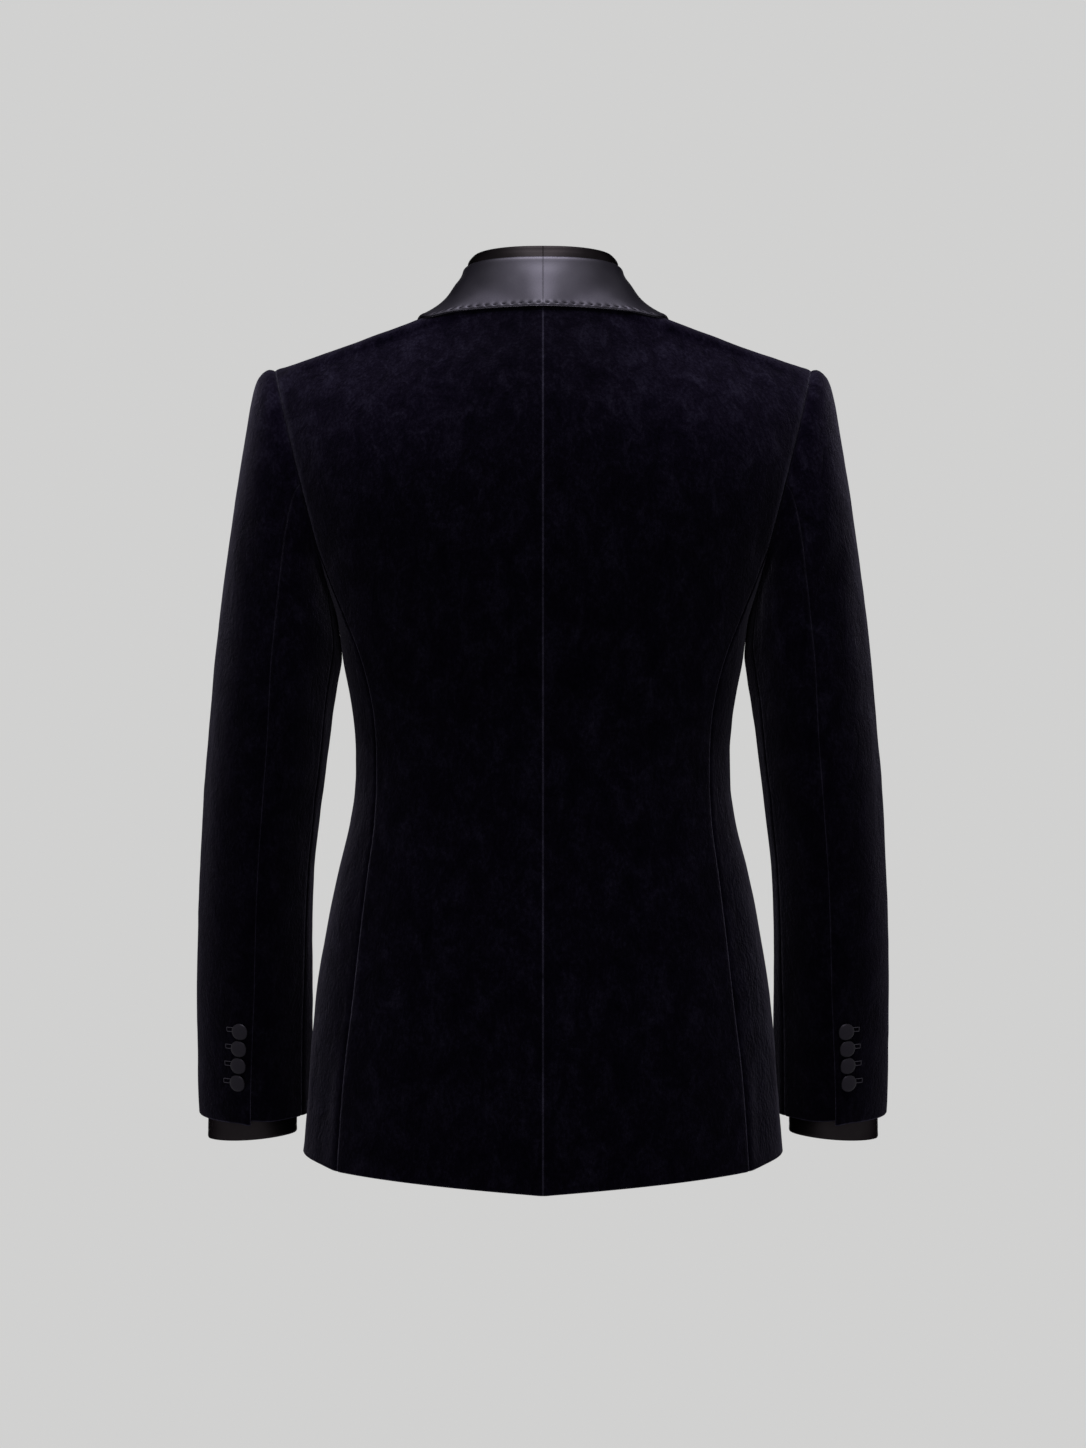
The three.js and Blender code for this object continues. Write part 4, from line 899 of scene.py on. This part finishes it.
def collar_faces(grid):
    left, right, low, high = measured(grid)
    normals = normals_of(grid, -1)
    normals[0] = unit(normals[0] * (0, 1, 1))
    rise = -0.55 * np.exp(-((right / 0.7) ** 2)) - 0.14 * np.exp(-((low / 0.5) ** 2))
    # Each pick stitch draws the edge in, and it swells between one stitch and the next.
    _, length = stitch_length(grid, right)
    turn = 2 * math.pi * ((length[:, None] + 0.6 * (right - STITCH_INSET)) / STITCH_PITCH - 0.5)
    drawn = smoothstep(-0.25, 0.75, np.cos(turn)) * smoothstep(0, 3, low)
    rise += -0.5 * np.exp(-(((right - STITCH_INSET) / 0.85) ** 2)) * drawn
    rise += 0.24 * np.exp(-(((right - STITCH_INSET) / 1.5) ** 2)) * (1 - drawn)
    calm = smoothstep(0, 10, np.minimum(np.minimum(left, right), high)) * smoothstep(0, 14, low)
    rise += calm * (0.22 * value_noise(grid, 30, 71) + 0.07 * value_noise(grid, 11, 72))
    face = grid + normals * rise[..., None]
    back = grid - normals * (SATIN - 0.5 * rise)[..., None]
    return face, back, normals


for side, mirrored in SIDES:
    source = tucked(collar_grid) if mirrored else collar_grid
    face, back, _ = collar_faces(source)
    piece = wall_mesh(f"shawl_collar_{side}_cloth", face, back, -1, mirrored, [satin, velvet])
    dress(piece, [f"shawl_collar_{side}"])

# The neckband inside the collar


def band_rung(i, along):
    foot, _, inner = collar_coarse[i][:3]
    at = {k: float(v) for k, v in band_station(along).items()}
    up = unit(inner - foot)
    inwards = unit(np.cross(neck_tangent(np.float64(along)), up))
    if inwards[1] * foot[1] > 0:
        inwards = -inwards
    off = inwards * 0.35
    top = inner + off + up * (3.4 + at["above"]) + inwards * at["inwards"]
    neck = inner + off + inwards * 0.1
    middle = mix(neck, top, 0.55) - inwards * at["flare"]
    return [mix(foot, inner, 0.25) + off, mix(foot, inner, 0.62) + off, neck, middle, top]


band_coarse = np.array([band_rung(i, along) for i, along in enumerate(AROUND_NECK)])
band_keys = np.concatenate([[0, 0.001, 0.003], np.linspace(0.006, 0.226, 60), [0.228, 0.2295, 0.23]])
band_grid = spline_grid(band_coarse, np.array(AROUND_NECK), band_keys, [0, 0.3, 0.7, 1.2, 2, 3], 22, True)
band_grid[0, :, 0] = 0.0
left, right, low, high = measured(band_grid)
band_normals = normals_of(band_grid, 1)
band_rise = -0.5 * np.exp(-((right / 0.6) ** 2)) - 0.14 * np.exp(-(((right - 4.0) / 0.7) ** 2))
band_rise += 0.12 * value_noise(band_grid, 22, 81) * smoothstep(0, 8, np.minimum(low, high))
for side, mirrored in SIDES:
    face = band_grid + band_normals * band_rise[..., None]
    back = band_grid - band_normals * (SATIN - 0.4 * band_rise)[..., None]
    piece = wall_mesh(f"neckband_{side}_cloth", face, back, 1, mirrored, [inner_black])
    dress(piece, [f"neckband_{side}"])

# The cuffs
CUFF_TOP, CUFF_BOTTOM, CUFF_MIDDLE, CUFF_WIDTH, CUFF_DEPTH, CUFF_BACK, CUFF_WALL = (
    12.6, -716.5, 250.8, 38.4, 33.0, -43.0, 1.6,
)


def cuff_bottom(turn):
    return CUFF_BOTTOM + 5.0 * (0.5 - 0.5 * np.cos(turn)) ** 2


def cuff_ring(drop, inset, angles):
    middle = sleeve_middle(np.float64(CUFF_TOP))
    start = sleeve_point(angles, np.full(angles.shape, CUFF_TOP))
    away = unit((start - middle) * (1, 1, 0))
    start = start - away * (CLOTH + 0.9 + inset)
    turn = np.arctan2(start[:, 1] - middle[1], start[:, 0] - middle[0])
    share = smoothstep(0, 0.75, drop)
    x = mix(start[:, 0], CUFF_MIDDLE + (CUFF_WIDTH - inset) * np.cos(turn), share)
    y = mix(start[:, 1], CUFF_BACK + (CUFF_DEPTH - inset) * np.sin(turn), share)
    return points(x, y, mix(start[:, 2], cuff_bottom(turn), drop))


cuff_angles = np.linspace(0, 2 * math.pi, 129)[:-1]
cuff_drops = np.concatenate([np.linspace(0, 0.97, 44), 1 - np.array([1.6, 1.1, 0.7, 0.35, 0.12, 0]) / 100])
cuff_outer = np.array([cuff_ring(drop, 0, cuff_angles) for drop in cuff_drops])
cuff_inner = np.array([cuff_ring(drop, CUFF_WALL, cuff_angles) for drop in cuff_drops])
low_edge = cuff_outer[..., 2] - cuff_outer[-1:, :, 2]
cuff_away = unit((cuff_outer - cuff_outer.mean(axis=1, keepdims=True)) * (1, 1, 0))
cuff_rise = -0.6 * np.exp(-((low_edge / 0.7) ** 2)) - 0.2 * np.exp(-(((low_edge - 5.5) / 0.7) ** 2))
cuff_rise += 0.25 * value_noise(cuff_outer, 24, 91)
cuff_outer = cuff_outer + cuff_away * cuff_rise[..., None]
for side, mirrored in SIDES:
    piece = wall_mesh(f"cuff_{side}_cloth", cuff_outer, cuff_inner, -1, mirrored, [inner_black], ring=True)
    dress(piece, [f"cuff_{side}"])

# Buttons


def button_mesh(name, radius, height):
    """A domed button covered in satin that is gathered behind it."""
    profile = [
        (0.02, 0.0), (0.5, 0.0), (0.74, 0.02), (0.88, 0.1), (0.97, 0.24), (1.0, 0.4), (0.985, 0.54), (0.93, 0.68),
        (0.84, 0.79), (0.7, 0.885), (0.52, 0.95), (0.32, 0.985), (0.14, 0.998), (0.02, 1.0),
    ]
    turns = 48
    vertices, faces = [], []
    for r, h in profile:
        for k in range(turns):
            t = 2 * math.pi * k / turns
            gather = 1 - 0.02 * max(0.0, 0.3 - h) / 0.3 * math.cos(12 * t)
            vertices.append((r * radius * gather * math.cos(t), r * radius * gather * math.sin(t), h * height))
    for i in range(len(profile) - 1):
        for k in range(turns):
            n = (k + 1) % turns
            faces.append((i * turns + k, i * turns + n, (i + 1) * turns + n, (i + 1) * turns + k))
    first, last = len(vertices), len(vertices) + 1
    vertices += [(0, 0, 0), (0, 0, height)]
    rows = len(profile) - 1
    piece_faces = faces
    caps = []
    for k in range(turns):
        n = (k + 1) % turns
        caps.append((first, n, k))
        caps.append((last, rows * turns + k, rows * turns + n))
    mesh = bpy.data.meshes.new(name)
    mesh.from_pydata([(x * 0.001, y * 0.001, z * 0.001) for x, y, z in vertices], [], piece_faces + caps)
    mesh.materials.append(button_satin)
    mesh.polygons.foreach_set("use_smooth", np.full(len(mesh.polygons), True))
    piece = bpy.data.objects.new(name, mesh)
    bpy.context.scene.collection.objects.link(piece)
    return piece


def button_frame(cad_name):
    """Where a button sits: the centre of its seat and its facing, from its own node."""
    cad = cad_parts[cad_name]
    obj = cad if isinstance(cad, bpy.types.Object) else bpy.data.objects[cad_name]
    p = np.array([v.co for v in obj.data.vertices]) * 1000
    centre = p.mean(axis=0)
    values, vectors = np.linalg.eigh(np.cov((p - centre).T))
    facing = vectors[:, 0]
    reach = (p - centre) @ facing
    # The flat seat holds more of the points near one end than the dome does.
    if (reach > reach.max() - 0.2).sum() > (reach < reach.min() + 0.2).sum():
        facing = -facing
        reach = -reach
    axis_point = centre - facing * ((centre - p.mean(axis=0)) @ facing)
    return axis_point + facing * reach.min(), facing


def place_button(cad_name, radius, height):
    seat, facing = button_frame(cad_name)
    piece = button_mesh(f"{cad_name}_cover", radius, height)
    turn = Vector((0, 0, 1)).rotation_difference(Vector(facing)).to_matrix().to_4x4()
    piece.matrix_world = Matrix.Translation(Vector(seat) * 0.001) @ turn
    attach(piece, "root")
    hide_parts(cad_name)
    return seat, facing


button_seats = {}
for side, _ in SIDES:
    for i in range(1, 5):
        button_seats[side, i] = place_button(f"sleeve_button_{side}_{i}", 7.3, 3.4)
place_button("front_button", 10.5, 4.2)


# Sewing


def tube(path, radius, sides=6, closed=False, beads=0.0, bead_length=1.0):
    """A thread along a path, which may swell and narrow with its stitches."""
    path = np.asarray(path, float)
    n = len(path)
    ahead = np.roll(path, -1, axis=0) - np.roll(path, 1, axis=0)
    if not closed:
        ahead[0], ahead[-1] = path[1] - path[0], path[-1] - path[-2]
    ahead = unit(ahead)
    ref = np.array([0.3, 0.9, 0.2])
    u = unit(np.cross(ahead, ref))
    v = np.cross(ahead, u)
    length = np.concatenate([[0], np.cumsum(np.linalg.norm(np.diff(path, axis=0), axis=1))])
    vertices, faces = [], []
    for k in range(sides):
        t = 2 * math.pi * k / sides
        r = radius * (1 + beads * np.cos(2 * math.pi * length / bead_length + t))
        vertices.append(path + u * (r * math.cos(t))[:, None] + v * (r * math.sin(t))[:, None])
    vertices = np.stack(vertices, 1).reshape(-1, 3)
    for i in range(n if closed else n - 1):
        for k in range(sides):
            a, b = i * sides, ((i + 1) % n) * sides
            faces.append((a + k, a + (k + 1) % sides, b + (k + 1) % sides, b + k))
    return vertices, faces


def joined(name, parts, material):
    vertices, faces, start = [], [], 0
    for v, f in parts:
        vertices.append(np.asarray(v))
        faces += [tuple(int(x) + start for x in face) for face in f]
        start += len(v)
    mesh = bpy.data.meshes.new(name)
    mesh.from_pydata((np.concatenate(vertices) * 0.001).tolist(), [], faces)
    mesh.materials.append(material)
    mesh.polygons.foreach_set("use_smooth", np.full(len(mesh.polygons), True))
    piece = bpy.data.objects.new(name, mesh)
    bpy.context.scene.collection.objects.link(piece)
    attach(piece, "root")
    return piece


def stitch(centre, along, normal, length, radius):
    """One short stitch, sunk at both ends."""
    t = np.linspace(-1, 1, 7)
    path = centre + np.outer(t * length / 2, along) + np.outer((1 - t**2) * radius * 1.2 - radius * 0.7, normal)
    v, f = tube(path, radius, 5)
    return v, f + [tuple(range(5))[::-1], tuple(range(len(v) - 5, len(v)))]


def collar_stitches(source):
    face, _, normals = collar_faces(source)
    _, right, low, _ = measured(source)
    line, length = stitch_length(face, right)
    line_normals = np.array([
        [np.interp(STITCH_INSET, far[::-1], n[::-1, k]) for k in range(3)] for far, n in zip(right, normals)
    ])
    _, flat_length = stitch_length(source, right)
    rng = np.random.default_rng(5)
    parts = []
    for k in range(int((flat_length[-1] - 6) / STITCH_PITCH)):
        place = (k + 0.5) * STITCH_PITCH
        p = np.array([np.interp(place, flat_length, line[:, c]) for c in range(3)])
        q = np.array([np.interp(place + 1, flat_length, line[:, c]) for c in range(3)])
        n = unit(np.array([np.interp(place, flat_length, line_normals[:, c]) for c in range(3)]))
        ahead = unit(q - p)
        slanted = unit(ahead + 0.16 * np.cross(n, ahead))
        parts.append(stitch(p + n * 0.04, slanted, n, 3.5 + rng.uniform(-0.3, 0.3), 0.3))
    return parts


def mirrored_parts(parts):
    return [(np.asarray(v) * (-1, 1, 1), [tuple(face[::-1]) for face in f]) for v, f in parts]


joined("collar_stitches_left", collar_stitches(collar_grid), pick_thread)
joined("collar_stitches_right", mirrored_parts(collar_stitches(tucked(collar_grid))), pick_thread)


def nearest_on(grid, normals, p):
    k = np.argmin(((grid - p) ** 2).sum(-1))
    i, j = np.unravel_index(k, grid.shape[:2])
    return grid[i, j] + normals[i, j] * 0, normals[i, j], ((p - grid[i, j]) @ normals[i, j])


top_face, _, _ = finish_panel(top_grid, -1, CLOTH, TOP_SEAMS, 41, TOP_LIT, top_middle)
top_normals = normals_of(top_face, -1)


def buttonhole(seat, facing, outer_x):
    """A stitched buttonhole on the sleeve, from under its button towards the sleeve's outer side."""
    up = np.array([0, 0, 1.0])
    up = unit(up - facing * (up @ facing))
    aside = np.cross(up, facing)
    if aside[0] < 0:
        aside = -aside
    reach, half, lift = outer_x, 1.75, 1.2
    outline = []
    for x, y in ((2, -half), (reach, -half), (reach, half), (2, half)):
        outline.append(seat + aside * x + up * (y + lift))
    path = []
    for a, b, count in ((0, 1, 26), (1, 2, 8), (2, 3, 26)):
        for t in np.linspace(0, 1, count, endpoint=False):
            path.append(mix(outline[a], outline[b], t))
    path.append(outline[3])
    laid = []
    for p in path:
        _, n, height = nearest_on(top_face, top_normals, p)
        laid.append(p - n * (height - 0.12))
    return tube(laid, 0.34, beads=0.28, bead_length=0.75)


holes = []
for i in range(1, 5):
    seat, facing = button_seats["left", i]
    holes.append(buttonhole(seat, facing, 13.0 + 0.6 * i))
joined("buttonholes_left", holes, stitch_thread)
joined("buttonholes_right", mirrored_parts(holes), stitch_thread)

# The floor, backdrop, lights and camera


PALE = (0.638, 0.637, 0.633)


def stage_floor():
    """A pale floor, as bright as the studio round it, so that no line shows where it ends."""
    material, nodes, links = new_material("floor")
    nodes.remove(nodes["Principled BSDF"])
    glow = nodes.new("ShaderNodeEmission")
    glow.inputs["Color"].default_value = (*PALE, 1)
    links.new(glow.outputs["Emission"], nodes["Material Output"].inputs["Surface"])
    mesh = bpy.data.meshes.new("floor")
    mesh.from_pydata([(-6, -6, -1.3), (6, -6, -1.3), (6, 6, -1.3), (-6, 6, -1.3)], [], [(0, 1, 2, 3)])
    mesh.materials.append(material)
    piece = bpy.data.objects.new("floor", mesh)
    bpy.context.scene.collection.objects.link(piece)
    piece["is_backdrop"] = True


def area_light(name, place, target, size, power, colour=(1, 1, 1)):
    data = bpy.data.lights.new(name, "AREA")
    data.shape = "RECTANGLE"
    data.size, data.size_y = size
    data.energy = power
    data.color = colour
    light = bpy.data.objects.new(name, data)
    light.location = place
    way = Vector(target) - Vector(place)
    light.rotation_mode = "QUATERNION"
    light.rotation_quaternion = way.to_track_quat("-Z", "Y")
    bpy.context.scene.collection.objects.link(light)


stage_floor()
world = bpy.data.worlds.new("studio")
world.use_nodes = True
world.node_tree.nodes["Background"].inputs["Color"].default_value = (*PALE, 1)
world.node_tree.nodes["Background"].inputs["Strength"].default_value = 1.0
bpy.context.scene.world = world
bpy.context.scene.view_settings.view_transform = "Standard"
area_light("key", (0.0, 1.1, 1.75), (0, 0.05, 0), (0.6, 0.5), 36)
area_light("top", (0.0, 0.25, 1.5), (0, 0.02, 0), (0.6, 0.5), 23)

CAMERA_DISTANCE, CAMERA_HEIGHT, FOCAL_PIXELS, IMAGE_HEIGHT = 2.6, -0.36, 3059.0, 1448.0
SENSOR = 36.0
camera_data = bpy.data.cameras.new("camera")
camera_data.sensor_fit = "AUTO"
camera_data.sensor_width = SENSOR
camera_data.lens = FOCAL_PIXELS / IMAGE_HEIGHT * SENSOR
camera = bpy.data.objects.new("camera", camera_data)
camera.location = (0, CAMERA_DISTANCE, CAMERA_HEIGHT)
camera.rotation_euler = (math.pi / 2, 0, math.pi)
bpy.context.scene.collection.objects.link(camera)
bpy.context.scene.camera = camera

low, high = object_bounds()
